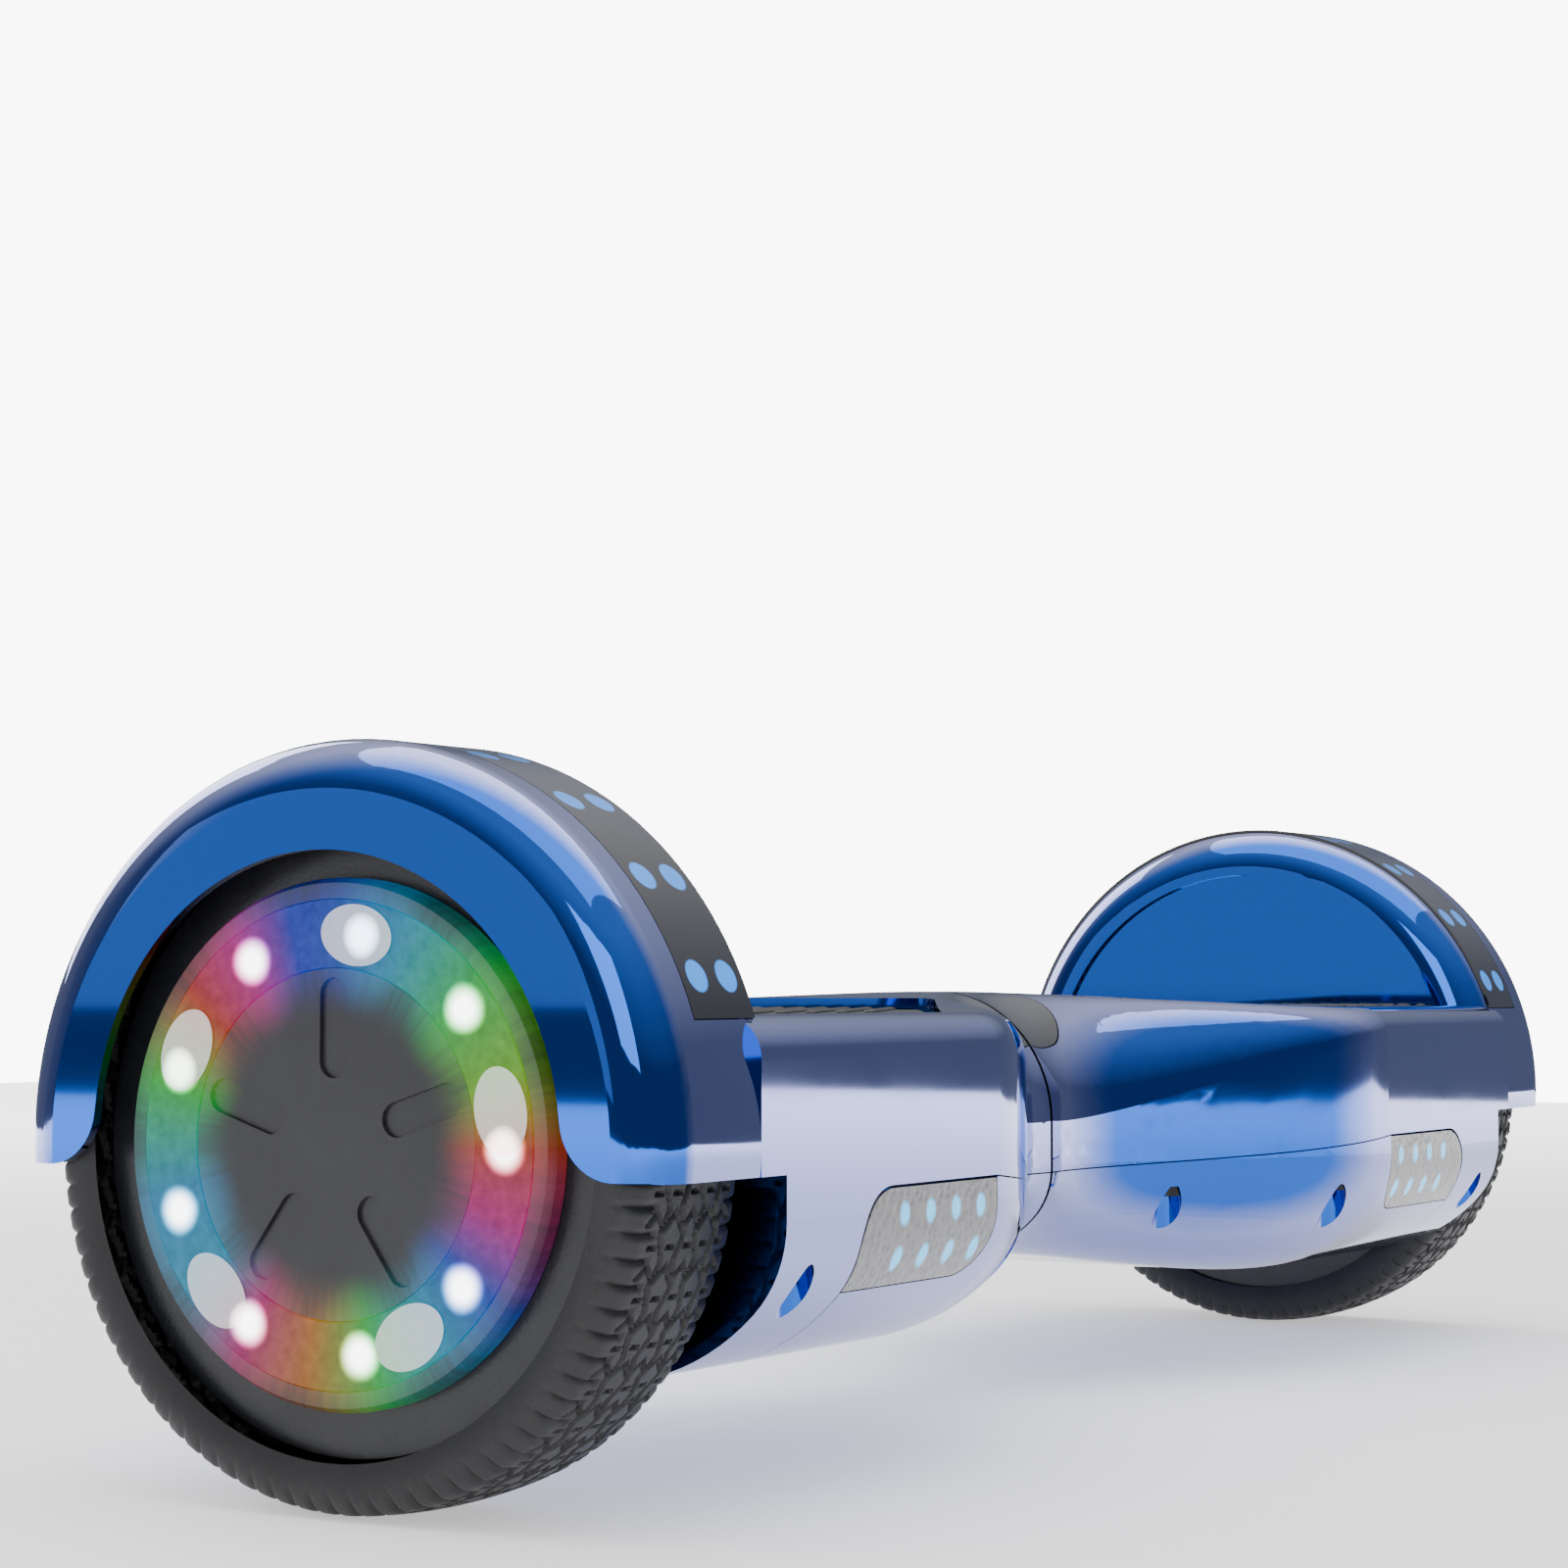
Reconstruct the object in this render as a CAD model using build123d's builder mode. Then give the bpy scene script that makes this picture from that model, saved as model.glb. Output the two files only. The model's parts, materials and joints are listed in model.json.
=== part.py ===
from build123d import *
import math
import os

os.makedirs("parts", exist_ok=True)

# Self balancing hoverboard with 6.5-inch hub-motor wheels. Millimetres.
# X runs along the axle, -Y is the front, Z is up. The origin is on the ground
# under the centre. Every paired piece is built for the right half (+X) and
# mirrored for the left, so an "x" below is a distance from the centre.

# ---------------------------------------------------------------- overall
overall_length = 584.0       # fender face to fender face
fender_radius = 93.0         # mudguard and body half depth
tyre_width = 44.0
half_gap = 0.75              # each half stops this far from the centre
wall = 3.0                   # moulded shell wall
fit = 0.3                    # assembly clearance between seated pieces
run = 0.05                   # radial running clearance on shafts

# ---------------------------------------------------------------- wheel arch
arch_gap = 5.0               # between the tread and the inside of the fender
arch_clearance = 2.5         # between the wheel and the fender's side walls
fender_face_wall = 2.5
arch_lip = 4.0               # the body runs this far past its end wall
body_to_tyre = 3.0

fender_outer = overall_length / 2
arch_radius = fender_radius - wall
tyre_radius = arch_radius - arch_gap
axle_height = tyre_radius    # wheel axle above the ground
wheel_x = fender_outer - fender_face_wall - arch_clearance - tyre_width / 2
body_end = wheel_x - tyre_width / 2 - body_to_tyre
arch_wall_x = body_end - arch_lip
pivot_height = axle_height - 5.0

# ---------------------------------------------------------------- body
neck_end = 12.0              # straight part of the waist next to the gap
taper_end = 135.0            # where the body reaches its full depth
waist_shares = (10 / 123, 33 / 123, 0.5, 90 / 123)
deck_rim = axle_height + 29.5
body_bottom = axle_height - 55.8
side_low = axle_height - 17.0   # where the upright side starts to curve under
rim_radius = 10.0            # rounding between the deck and the side
neck_half_width = 40.0
neck_top = axle_height + 34.5
neck_bottom = axle_height - 45.0
neck_top_radius = 38.0
cap_length = 30.0            # saddle cap beside the centre gap
cap_half_width = 33.0
cap_corner = 14.0
tube_hole_clearance = 1.0    # shells clear the pivot tube by this
axle_hole_clearance = 1.5

# ---------------------------------------------------------------- fender
outer_shoulder = 13.0
inner_shoulder = 15.0
hem_height = axle_height - 6.5  # lower edge of the fender
opening_radius = fender_radius - 26.0   # opening in the fender's outer face
opening_flare = 14.0         # rounding where the opening meets the hem
opening_lift = 0.5           # the opening's straight part passes the hem
panel_radius = fender_radius - 16.7     # half-round recess on the inner face
panel_depth = 2.0

# ---------------------------------------------------------------- rim and tyre
rim_seat_radius = tyre_radius - 15.0
rim_inner_radius = rim_seat_radius - 10.0
rim_half_width = 16.0
rim_face = wheel_x + 15.0    # outer face of the rim's web
web_thickness = 4.0
inner_lip = 3.0              # stepped lip on the rim's inner edge
inner_lip_rise = 2.0
outer_lip = 1.5              # rise of the rim's outer edge over the bead seat
outer_lip_start = 4.0
outer_lip_end = 1.0
tread_crown = 0.8
shoulder_drop = 6.0
shoulder_bulge = 1.5
shoulder_low = 3.2           # the shoulder's rounding starts below the tread
bead_rise = 4.5
bead_inset = (1.2, 0.8)      # sidewall set in at the outer and inner beads
sidewall_rise = 8.0

# ---------------------------------------------------------------- wheel cover
cover_radius = rim_seat_radius - 9.2
cover_face = rim_face + 6.0
cover_plate = 3.0
cover_rebate = 2.0
cover_bevel = (2.0, 1.2)
light_inner_radius = cover_radius - 20.8    # light ring in the wheel cover
light_outer_radius = cover_radius - 4.8
light_pocket = 2.0
ring_proud = 0.2
wheel_led_count = 9
wheel_led_radius = 2.6
led_board_gap = 0.6
led_board_thickness = 1.4
petal_count = 5
petal_lead = 8.0             # petals sit this far round from the slots, degrees
petal_length = 14.0
petal_width = 20.0
petal_height = 0.6
slot_inner_radius = 15.0     # radial slots pressed into the wheel cover
slot_outer_radius = light_inner_radius - 2.0
slot_width = 8.0
slot_depth = 1.0

# ---------------------------------------------------------------- hub motor
axle_radius = 8.5
axle_end_radius = 6.0
magnet_count = 20
magnet_depth = 2.3
magnet_space = 1.2
air_gap = 0.7
tooth_count = 18
tooth_width = 6.0
tooth_tip_radius = rim_inner_radius - magnet_depth - air_gap
core_radius = tooth_tip_radius - 19.0
core_width = 14.0
core_x = wheel_x - 1.0       # middle of the stator, between the two bearings
core_hole_count = 6
core_hole_radius = 5.5
coil_build = 2.4             # winding thickness round a tooth
coil_inset = 2.5
big_bearing_radius = 17.5
big_bearing_width = 10.0
small_bearing_radius = 14.0
small_bearing_width = 8.0
bearing_collar = 4.0         # metal round a bearing
bearing_stop = 2.0           # lip that holds a bearing
bearing_sink = 0.5           # the big bearing starts inside the motor cover's face
motor_cover_radius = rim_inner_radius + 4.0
motor_cover_thickness = 3.0
cover_screw_circle = rim_inner_radius - 16.0
cover_screw_count = 6
cover_screw_head = 1.2

# ---------------------------------------------------------------- lights
strip_inner_x = body_end + 6.0   # smoked lens over the fender
strip_outer_x = fender_outer - 20.0
strip_low_height = axle_height + 28.5
strip_thickness = 1.8
strip_ledge = 2.0
strip_board_sink = 1.2
strip_board_thickness = 0.8
strip_led_rows = 9
strip_led_radius = 3.6
lamp_inner_x = taper_end + 2.0   # headlight
lamp_outer_x = body_end - 49.0
lamp_low_x = body_end - 38.0
lamp_low_height = axle_height - 36.0
lamp_board_depth = 12.0      # board behind the inside of the shell
lamp_columns = 4
lamp_row_inset = 7.0
lamp_led_radius = 2.6
lamp_led_start = 9.0
lamp_led_end = 6.0
seam_neck_height = axle_height - 18.3   # seam between the upper and lower shells
seam_lamp_height = axle_height - 11.2
seam_corner = 14.0
seam_end_x = body_end - 35.0
seam_gap = 0.4

# ---------------------------------------------------------------- pivot
tube_radius = 13.0
tube_bore_radius = 8.0
tube_half_length = 58.0
boss_radius = 19.0
boss_start = 8.0
boss_end = 54.0
bush_radius = 15.5
bush_length = 14.0
circlip_radius = 16.5
circlip_thickness = 1.5
circlip_mouth = 5.0
groove_depth = 1.0

# ---------------------------------------------------------------- frame
deck_low = axle_height + 3.0
plate = 3.0
deck_half_width = fender_radius - 20.0
deck_start = 105.0
deck_end = body_end - 11.0
flange_low = axle_height - 15.0
seat_start = body_end - 34.0    # axle seat and clamp
seat_half_width = 20.0
clamp_low = axle_height - 13.0
clamp_bolt_offset = 6.0      # bolt centre out from the axle's surface
clamp_bolt_inset = 5.0
bolt_radius = 2.5
bolt_head = 3.0
screw_radius = 1.8
screw_head_radius = 4.0
screw_head_height = 3.0
screw_recess_radius = 4.5
screw_seat = axle_height - 25.0
screw_from_side = 6.4        # screw centre in from the body's side
screw_stations = (58.0, 113.0, body_end - 14.0)
pillar_radius = 5.6
ear_half_width = 4.0
ear_lip = 1.0                # chassis ear past the screw centre
screw_top = deck_low + 12.0
pillar_top = deck_low + 16.0

# ---------------------------------------------------------------- foot pad
pad_inner = 62.0
pad_shoulder = taper_end + 11.0
pad_outer = body_end - 10.0
pad_half_width = fender_radius - 11.0
pad_neck_half_width = 34.0
pad_corner = 8.0
pad_flange = 2.0
pad_flange_thickness = 2.0
pad_slope = 2.0              # fall of the pad's top at its border
pad_travel = 1.5
sensor_x = 150.0
sensor_y = deck_half_width - 21.0
sensor_length = 86.0
sensor_width = 30.0
switch_offset = 30.0
switch_size = 8.0
switch_height = 6.0
post_radius = 3.5

# ---------------------------------------------------------------- rear controls
button_x = body_end - 80.0
button_radius = 7.0
inlet_x = body_end - 44.0
inlet_radius = 8.0
port_height = deck_low
button_flange = 2.0
button_travel = 1.0
inlet_bore = 6.3
inlet_depth = 12.0
inlet_pin_count = 3
inlet_pin_radius = 0.8
inlet_pin_circle = 3.2
inlet_pin_length = 6.0
inlet_cap_radius = 11.0
inlet_cap_thickness = 2.3
rear_face = fender_radius

# ---------------------------------------------------------------- electrics
circuit_thickness = 1.6
battery_start = 108.0
battery_end = body_end - 40.0
battery_half = deck_half_width - 2 * wall
battery_height = 42.0
battery_corner = 4.0
strap_width = 14.0
strap_thickness = 1.0
board_start = 110.0
board_end = body_end - 40.0
board_half = 50.0
board_standoff = 8.0
board_edge = 5.0
standoff_radius = 3.0
heatsink_inset = 8.0
heatsink_width = 14.0
heatsink_depth = 12.0
capacitor_rows = (20.0, 42.0)
capacitor_spacing = 24.0
capacitor_radius = 8.0
capacitor_length = 20.0


def mix(low, high, share):
    return low + (high - low) * share


def waist(x):
    """0 at the neck and 1 at the full body, with a smooth S between."""
    share = (x - neck_end) / (taper_end - neck_end)
    share = min(max(share, 0.0), 1.0)
    return share * share * (3 - 2 * share)


def half_width(x):
    return mix(neck_half_width, fender_radius, waist(x))


def body_section(x, inset=0.0):
    """Closed outline of the body at x, set in by inset on every side."""
    share = waist(x)
    bend = math.sqrt(0.5)
    width = half_width(x) - inset
    top = mix(neck_top, deck_rim, share) - inset
    low = mix(neck_bottom, body_bottom, share)
    top_round = mix(neck_top_radius, rim_radius, share) - inset
    flank = (side_low - low) / (bend + 2 * (1 - bend))
    flank_round = flank - inset
    belly_round = 2 * flank - inset
    flank_centre = (width - flank_round, side_low)
    belly_centre = (
        flank_centre[0] + bend * (flank_round - belly_round),
        side_low - bend * (flank_round - belly_round),
    )
    with BuildSketch(Plane.YZ.offset(x)) as section:
        with BuildLine():
            Line((0, top), (width - top_round, top))
            CenterArc((width - top_round, top - top_round), top_round, 0, 90)
            Line((width, top - top_round), (width, side_low))
            CenterArc(flank_centre, flank_round, -45, 45)
            CenterArc(belly_centre, belly_round, -90, 45)
            Line((belly_centre[0], low + inset), (0, low + inset))
            mirror(about=Plane.YZ)
        make_face()
    return section.sketch


def body_solid(start, end, inset=0.0):
    """The body's volume from start to end along X."""
    waist_stations = [start, *(mix(neck_end, taper_end, share) for share in waist_shares), taper_end]
    with BuildPart() as volume:
        loft([body_section(x, inset) for x in waist_stations])
        extrude(body_section(taper_end, inset), amount=end - taper_end)
    return volume.part


def axle_ring(x_low, x_high, r_low, r_high, height=axle_height):
    """A plain ring or disc about the axle or the pivot."""
    with BuildPart() as ring:
        with BuildSketch(Plane.YZ.offset(x_low)):
            with Locations((0, height)):
                Circle(r_high)
                if r_low > 0:
                    Circle(r_low, mode=Mode.SUBTRACT)
        extrude(amount=x_high - x_low)
    return ring.part


def fender_volume(x_low, x_high, radius, inner_round, outer_round):
    """Round drum about the axle with rounded shoulders."""
    with BuildPart() as drum:
        with BuildSketch(Plane.XZ) as profile:
            with BuildLine():
                Polyline(
                    (x_low, axle_height),
                    (x_high, axle_height),
                    (x_high, axle_height + radius),
                    (x_low, axle_height + radius),
                    close=True,
                )
            make_face()
            for x, rounding in ((x_low, inner_round), (x_high, outer_round)):
                fillet(profile.vertices().sort_by_distance((x, axle_height + radius))[0], rounding)
        revolve(axis=Axis((0, 0, axle_height), (1, 0, 0)))
    return drum.part


def block(x_low, x_high, y_low, y_high, z_low, z_high):
    """A plain block between two corners."""
    centre = ((x_low + x_high) / 2, (y_low + y_high) / 2, (z_low + z_high) / 2)
    with BuildPart() as solid:
        with Locations(centre):
            Box(x_high - x_low, y_high - y_low, z_high - z_low)
    return solid.part


def pin(x, y, z_low, z_high, radius):
    """An upright cylinder."""
    with BuildPart() as solid:
        with Locations((x, y, (z_low + z_high) / 2)):
            Cylinder(radius, z_high - z_low)
    return solid.part


def save(piece, name):
    piece.label = name
    export_step(piece, f"parts/{name}.step")


def save_pair(piece, name):
    """Write a right-hand piece and its mirrored left-hand twin."""
    save(mirror(piece, about=Plane.YZ), f"left_{name}")
    save(piece, f"right_{name}")


def save_group(pieces, name):
    save(Compound(children=list(pieces)), name)


def save_group_pair(pieces, name):
    save_group([mirror(piece, about=Plane.YZ) for piece in pieces], f"left_{name}")
    save_group(pieces, f"right_{name}")


# ================================================================ shells
wheel_inner = wheel_x - tyre_width / 2
wheel_outer = wheel_x + tyre_width / 2
cavity_start = wheel_inner - arch_clearance
cavity_end = wheel_outer + arch_clearance
tall = 2 * fender_radius + axle_height


def seam_region(clearance):
    """Everything below and inboard of the seam between the shells."""
    top = seam_lamp_height - clearance
    side = seam_end_x - clearance
    neck = seam_neck_height - clearance
    middle = (lamp_inner_x / 2, neck + (top - neck) / 4)
    with BuildPart() as region:
        with BuildSketch(Plane.XZ) as outline:
            with BuildLine():
                ThreePointArc((0, neck), middle, (lamp_inner_x, top))
                Polyline((lamp_inner_x, top), (side, top), (side, 0), (0, 0), (0, neck))
            make_face()
            corner = outline.vertices().sort_by_distance((side, top))[0]
            fillet(corner, seam_corner)
        extrude(amount=fender_radius + wall, both=True)
    return region.part


def pad_outline(grow, z, depth):
    """Plan of the foot pad, extruded up from z."""
    with BuildPart() as solid:
        with BuildSketch(Plane.XY.offset(z)) as plan:
            with BuildLine():
                Polyline(
                    (pad_inner, pad_neck_half_width),
                    (pad_shoulder, pad_half_width),
                    (pad_outer, pad_half_width),
                    (pad_outer, -pad_half_width),
                    (pad_shoulder, -pad_half_width),
                    (pad_inner, -pad_neck_half_width),
                    close=True,
                )
            make_face()
            fillet(plan.vertices(), pad_corner)
            if grow:
                offset(amount=grow)
        extrude(amount=depth)
    return solid.part


def arc_band(x_low, x_high, r_low, r_high, low_height):
    """Band over the fender's top, cut off level at its two lower ends."""
    with BuildPart() as band:
        add(axle_ring(x_low, x_high, r_low, r_high))
        with Locations(((x_low + x_high) / 2, 0, low_height - r_high)):
            Box(2 * (x_high - x_low), 3 * r_high, 2 * r_high, mode=Mode.SUBTRACT)
    return band.part


def lamp_window(clearance):
    """The headlight's outline on the front flank."""
    with BuildPart() as window:
        with BuildSketch(Plane.XZ) as outline:
            with BuildLine():
                Polyline(
                    (lamp_inner_x + clearance, seam_lamp_height),
                    (lamp_outer_x + 2 * seam_corner, seam_lamp_height),
                    (lamp_low_x + seam_corner, lamp_low_height + clearance),
                    (lamp_inner_x + clearance, lamp_low_height + clearance),
                    close=True,
                )
            make_face()
            fillet(outline.vertices().sort_by_distance((lamp_inner_x, lamp_low_height))[0], seam_corner)
        extrude(amount=fender_radius + wall)
    return window.part


def cap_region(clearance):
    """Plan of the saddle cap beside the centre gap."""
    with BuildPart() as region:
        with BuildSketch(Plane.XY.offset(pivot_height)) as plan:
            with Locations((cap_length / 2 - clearance / 2, 0)):
                Rectangle(cap_length - clearance, 2 * (cap_half_width - clearance))
            outer = plan.vertices().group_by(Axis.X)[-1]
            fillet(outer, cap_corner)
        extrude(amount=tall)
    return region.part


skin_outer = body_solid(half_gap, body_end)
skin_inner = body_solid(half_gap + wall, arch_wall_x - wall, wall)
roof_skin = skin_outer - body_solid(half_gap - wall, body_end, wall)
# The opening under the saddle cap is cut from above the skin to just below it.
above_skin = body_solid(half_gap - wall, body_end, -wall)
below_skin = body_solid(half_gap - 2 * wall, body_end, wall + fit)
roof_cut = above_skin - below_skin
lower_keep = seam_region(seam_gap)
lower_region = seam_region(0.0)

with BuildPart() as fender_shell:
    add(fender_volume(arch_wall_x, fender_outer, fender_radius, inner_shoulder, outer_shoulder))
    with Locations((fender_outer, 0, hem_height / 2 - tall / 2)):
        Box(tall, 4 * fender_radius, hem_height + tall, mode=Mode.SUBTRACT)

with BuildPart() as side_run:
    extrude(body_section(taper_end), amount=arch_wall_x + inner_shoulder - taper_end)
    with Locations((fender_outer / 2, 0, hem_height / 2)):
        Box(2 * fender_outer, 4 * fender_radius, hem_height, mode=Mode.SUBTRACT)

with BuildPart() as face_opening:
    with BuildSketch(Plane.YZ.offset(cavity_end - wall)) as outline:
        with Locations((0, axle_height)):
            Circle(opening_radius)
        with Locations((0, hem_height / 2)):
            Rectangle(2 * fender_radius + tall, hem_height + opening_lift)
        crossing = outline.vertices().group_by(Axis.Y)[-1]
        fillet(crossing, opening_flare)
    extrude(amount=4 * wall)

with BuildPart() as panel_recess:
    add(axle_ring(arch_wall_x - panel_depth, arch_wall_x + panel_depth, 0, panel_radius))
    with Locations((arch_wall_x, 0, deck_rim / 2)):
        Box(4 * panel_depth, 4 * panel_radius, deck_rim, mode=Mode.SUBTRACT)


def screw_places():
    """Centres of the shell screws on both flanks."""
    for x in screw_stations:
        y = half_width(x) - screw_from_side
        yield x, -y
        yield x, y


ear_low = flange_low
ear_top = flange_low + plate

with BuildPart() as pillars:
    for px, py in screw_places():
        with Locations((px, py, pillar_top / 2)):
            Cylinder(pillar_radius, pillar_top)
pillars_inside = pillars.part & body_solid(half_gap, body_end, wall / 2)

with BuildPart() as screw_holes:
    for px, py in screw_places():
        with Locations((px, py, screw_seat / 2)):
            Cylinder(screw_recess_radius, screw_seat)
        with Locations((px, py, screw_top / 2)):
            Cylinder(screw_radius + run, screw_top)

axle_hole = axle_ring(arch_wall_x - 2 * wall, cavity_start + wall, 0, axle_radius + axle_hole_clearance)
tube_hole = axle_ring(0, 2 * wall, 0, tube_radius + tube_hole_clearance, pivot_height)

with BuildPart() as arch_recess:
    extrude(body_section(body_end, wall), amount=arch_wall_x - body_end, dir=(1, 0, 0))
    add(
        block(arch_wall_x, body_end, -fender_radius, fender_radius, 0, hem_height - wall),
        mode=Mode.INTERSECT,
    )

with BuildPart() as upper_shell:
    add(skin_outer)
    add(side_run.part)
    add(fender_shell.part)
    add(skin_inner, mode=Mode.SUBTRACT)
    add(
        fender_volume(cavity_start, cavity_end, arch_radius, inner_shoulder - wall, outer_shoulder - wall),
        mode=Mode.SUBTRACT,
    )
    add(pillars_inside)
    for px, py in screw_places():
        ear_gap = block(
            px - pillar_radius - wall, px + pillar_radius + wall,
            py - pillar_radius - wall, py + pillar_radius + wall,
            ear_low - fit, ear_top + fit,
        )
        add(ear_gap & body_solid(half_gap, body_end, wall), mode=Mode.SUBTRACT)
    add(lower_region, mode=Mode.SUBTRACT)
    add(arch_recess.part, mode=Mode.SUBTRACT)
    add(face_opening.part, mode=Mode.SUBTRACT)
    add(panel_recess.part, mode=Mode.SUBTRACT)
    add(pad_outline(fit, deck_rim - 2 * wall, tall), mode=Mode.SUBTRACT)
    add(roof_cut & cap_region(0.0), mode=Mode.SUBTRACT)
    add(
        arc_band(strip_inner_x, strip_outer_x, fender_radius - strip_thickness, tall, strip_low_height),
        mode=Mode.SUBTRACT,
    )
    add(
        arc_band(
            strip_inner_x + strip_ledge, strip_outer_x - strip_ledge,
            arch_radius - wall, tall, strip_low_height + strip_ledge,
        ),
        mode=Mode.SUBTRACT,
    )
    add(axle_hole, mode=Mode.SUBTRACT)
    add(tube_hole, mode=Mode.SUBTRACT)
    add(screw_holes.part, mode=Mode.SUBTRACT)
save(mirror(upper_shell.part, about=Plane.YZ), "left_upper_shell")

# The right half carries the power button and the charging inlet on its rear side.
with BuildPart() as rear_holes:
    with BuildSketch(Plane.XZ.offset(-rear_face - wall)):
        with Locations((button_x, port_height)):
            Circle(button_radius + fit)
        with Locations((inlet_x, port_height)):
            Circle(inlet_cap_radius + fit)
    extrude(amount=3 * wall)
with BuildPart() as right_upper:
    add(upper_shell.part)
    add(rear_holes.part, mode=Mode.SUBTRACT)
save(right_upper.part, "right_upper_shell")

with BuildPart() as lower_shell:
    add(skin_outer)
    add(skin_inner, mode=Mode.SUBTRACT)
    add(pillars_inside & block(0, body_end, -fender_radius, fender_radius, 0, ear_low - fit))
    add(lower_keep, mode=Mode.INTERSECT)
    add(lamp_window(0.0) & body_solid(half_gap, body_end, -wall), mode=Mode.SUBTRACT)
    add(tube_hole, mode=Mode.SUBTRACT)
    add(screw_holes.part, mode=Mode.SUBTRACT)
save_pair(lower_shell.part, "lower_shell")

with BuildPart() as centre_cap:
    add(roof_skin)
    add(cap_region(fit), mode=Mode.INTERSECT)
save_pair(centre_cap.part, "centre_cap")

# ================================================================ lights
with BuildPart() as headlight_lens:
    add(skin_outer)
    add(skin_inner, mode=Mode.SUBTRACT)
    add(lamp_window(fit), mode=Mode.INTERSECT)
    add(seam_region(seam_gap + fit), mode=Mode.INTERSECT)
save_pair(headlight_lens.part, "headlight_lens")

lens_inner = strip_inner_x + fit
lens_outer = strip_outer_x - fit
with BuildPart() as fender_light_lens:
    add(arc_band(
        lens_inner, lens_outer, fender_radius - strip_thickness, fender_radius, strip_low_height + fit,
    ))
save_pair(fender_light_lens.part, "fender_light_lens")

strip_base_low = arch_radius - strip_board_sink
strip_base_high = strip_base_low + strip_board_thickness
strip_edge = strip_ledge + fit
fender_leds = [
    arc_band(
        strip_inner_x + strip_edge, strip_outer_x - strip_edge,
        strip_base_low, strip_base_high, strip_low_height + 2 * strip_ledge,
    )
]
strip_end_rise = strip_low_height + 4 * strip_ledge - axle_height
strip_end_angle = math.degrees(math.asin(strip_end_rise / strip_base_low))
strip_led_inset = strip_edge + strip_led_radius + 1
for row in range(strip_led_rows):
    angle = mix(strip_end_angle, 180 - strip_end_angle, row / (strip_led_rows - 1))
    for led_x in (strip_inner_x + strip_led_inset, strip_outer_x - strip_led_inset):
        place = Location((led_x, 0, axle_height)) * Rotation(angle, 0, 0) * Pos(0, strip_base_high, 0)
        puck = place * Rotation(90, 0, 0) * Cylinder(
            strip_led_radius, fender_radius - strip_thickness - strip_base_high - fit,
            align=(Align.CENTER, Align.CENTER, Align.MAX),
        )
        fender_leds.append(puck)
save_group_pair(fender_leds, "fender_led_strip")


def flank_depth(z, inset):
    """Half depth of the full-width body at height z on its curved flank."""
    flank = (side_low - body_bottom) / (2 - math.sqrt(0.5))
    drop = max(side_low - z, 0.0)
    return fender_radius - flank + math.sqrt((flank - inset) ** 2 - drop ** 2)


# The headlight board stands upright behind its lens, and its lamps reach the lens.
lamp_board_y = -fender_radius + wall + lamp_board_depth
lamp_board = block(
    lamp_inner_x + wall, lamp_outer_x, lamp_board_y, lamp_board_y + circuit_thickness,
    lamp_low_height + wall, seam_lamp_height - wall,
)
headlight_board = [lamp_board]
for column in range(lamp_columns):
    for led_z in (lamp_low_height + lamp_row_inset, seam_lamp_height - lamp_row_inset):
        led_x = mix(lamp_inner_x + lamp_led_start, lamp_outer_x - lamp_led_end, column / (lamp_columns - 1))
        led_reach = flank_depth(led_z - lamp_led_radius, wall) - fit + lamp_board_y
        led = Pos(led_x, lamp_board_y, led_z) * Rotation(90, 0, 0) * Cylinder(
            lamp_led_radius, led_reach, align=(Align.CENTER, Align.CENTER, Align.MIN)
        )
        headlight_board.append(led)
save_group_pair(headlight_board, "headlight_board")

# ================================================================ foot pad
post_top = deck_rim - wall - fit
sensor_low = deck_low + plate + fit
sensor_top = sensor_low + circuit_thickness
switch_top = sensor_top + switch_height
sensor_places = [
    (sensor_x + side * switch_offset, front * sensor_y) for front in (-1, 1) for side in (-1, 1)
]
with BuildPart() as foot_pad:
    add(pad_outline(-fit, post_top - fit, deck_rim - post_top + fit))
    top_edges = foot_pad.faces().sort_by(Axis.Z)[-1].edges()
    chamfer(top_edges, length=pad_slope, length2=2 * pad_slope)
    add(pad_outline(pad_flange, post_top - pad_flange_thickness, pad_flange_thickness))
    for px, py in sensor_places:
        with Locations((px, py, (post_top + switch_top + pad_travel + fit) / 2)):
            Cylinder(post_radius, post_top - switch_top - pad_travel - fit)
save_pair(foot_pad.part, "foot_pad")

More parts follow.
